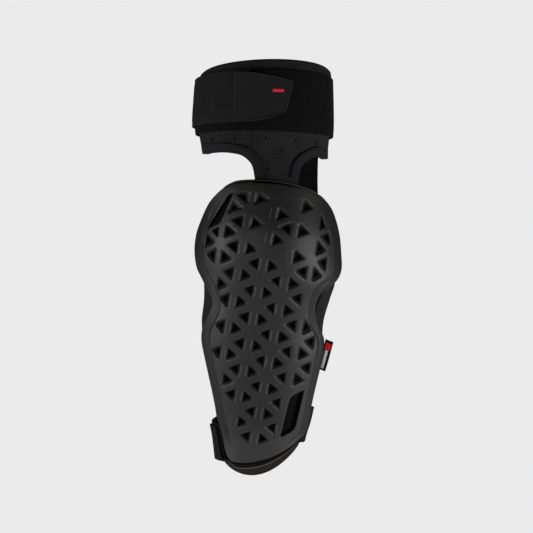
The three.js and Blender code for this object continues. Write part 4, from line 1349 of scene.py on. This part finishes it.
# Pale to the camera, and dim as a light on the guard
def paleTree(tree, dimShader, target):
    path = tree.nodes.new("ShaderNodeLightPath")
    pale = tree.nodes.new("ShaderNodeEmission" if dimShader.type != "BACKGROUND" else "ShaderNodeBackground")
    pale.inputs["Color"].default_value = (studio["pale"],) * 3 + (1,)
    choice = tree.nodes.new("ShaderNodeMixShader")
    tree.links.new(path.outputs["Is Camera Ray"], choice.inputs[0])
    tree.links.new(dimShader.outputs[0], choice.inputs[1])
    tree.links.new(pale.outputs[0], choice.inputs[2])
    tree.links.new(choice.outputs[0], target.inputs["Surface"])


bpy.ops.mesh.primitive_plane_add(size=studio["floorSize"], location=(0, 0, studio["floor"]))
floor = bpy.context.object
floor.name = "floor"
paper = bpy.data.materials.new("floorPaper")
paper.use_nodes = True
matt = paper.node_tree.nodes["Principled BSDF"]
matt.inputs["Base Color"].default_value = (studio["paper"],) * 3 + (1,)
matt.inputs["Roughness"].default_value = 0.9
matt.inputs["Emission Color"].default_value = (1, 1, 1, 1)
matt.inputs["Emission Strength"].default_value = studio["glow"]
paleTree(paper.node_tree, matt, paper.node_tree.nodes["Material Output"])
floor.data.materials.append(paper)

world = bpy.data.worlds.new("studio")
world.use_nodes = True
sky = world.node_tree.nodes["Background"]
sky.inputs["Color"].default_value = (studio["dim"],) * 3 + (1,)
paleTree(world.node_tree, sky, world.node_tree.nodes["World Output"])
bpy.context.scene.world = world
bpy.context.scene.view_settings.view_transform = "Standard"

# Name: place, aim, size and power of each soft light
lights = {
    "keyLeft": ((-1.4, -0.45, -0.35), (0, 0, -0.2), 0.7, 10),
    "fillRight": ((1.33, -0.5, -0.6), (0, 0, -0.22), 0.7, 17.5),
    "lowFront": ((-0.5, -1.3, -0.38), (0, 0, -0.3), 0.5, 2),
    "topBack": ((0.2, 1.1, 0.8), (0, 0, -0.05), 0.8, 4),
}
for name, (place, aim, size, power) in lights.items():
    light = bpy.data.lights.new(name, "AREA")
    light.size = size
    light.energy = power
    lamp = bpy.data.objects.new(name, light)
    lamp.location = place
    direction = np.array(aim) - np.array(place)
    yaw = math.atan2(direction[1], direction[0]) - math.pi / 2
    pitch = math.atan2(math.hypot(direction[0], direction[1]), -direction[2])
    lamp.rotation_euler = (pitch, 0, yaw)
    bpy.context.scene.collection.objects.link(lamp)

print("stage: finished")
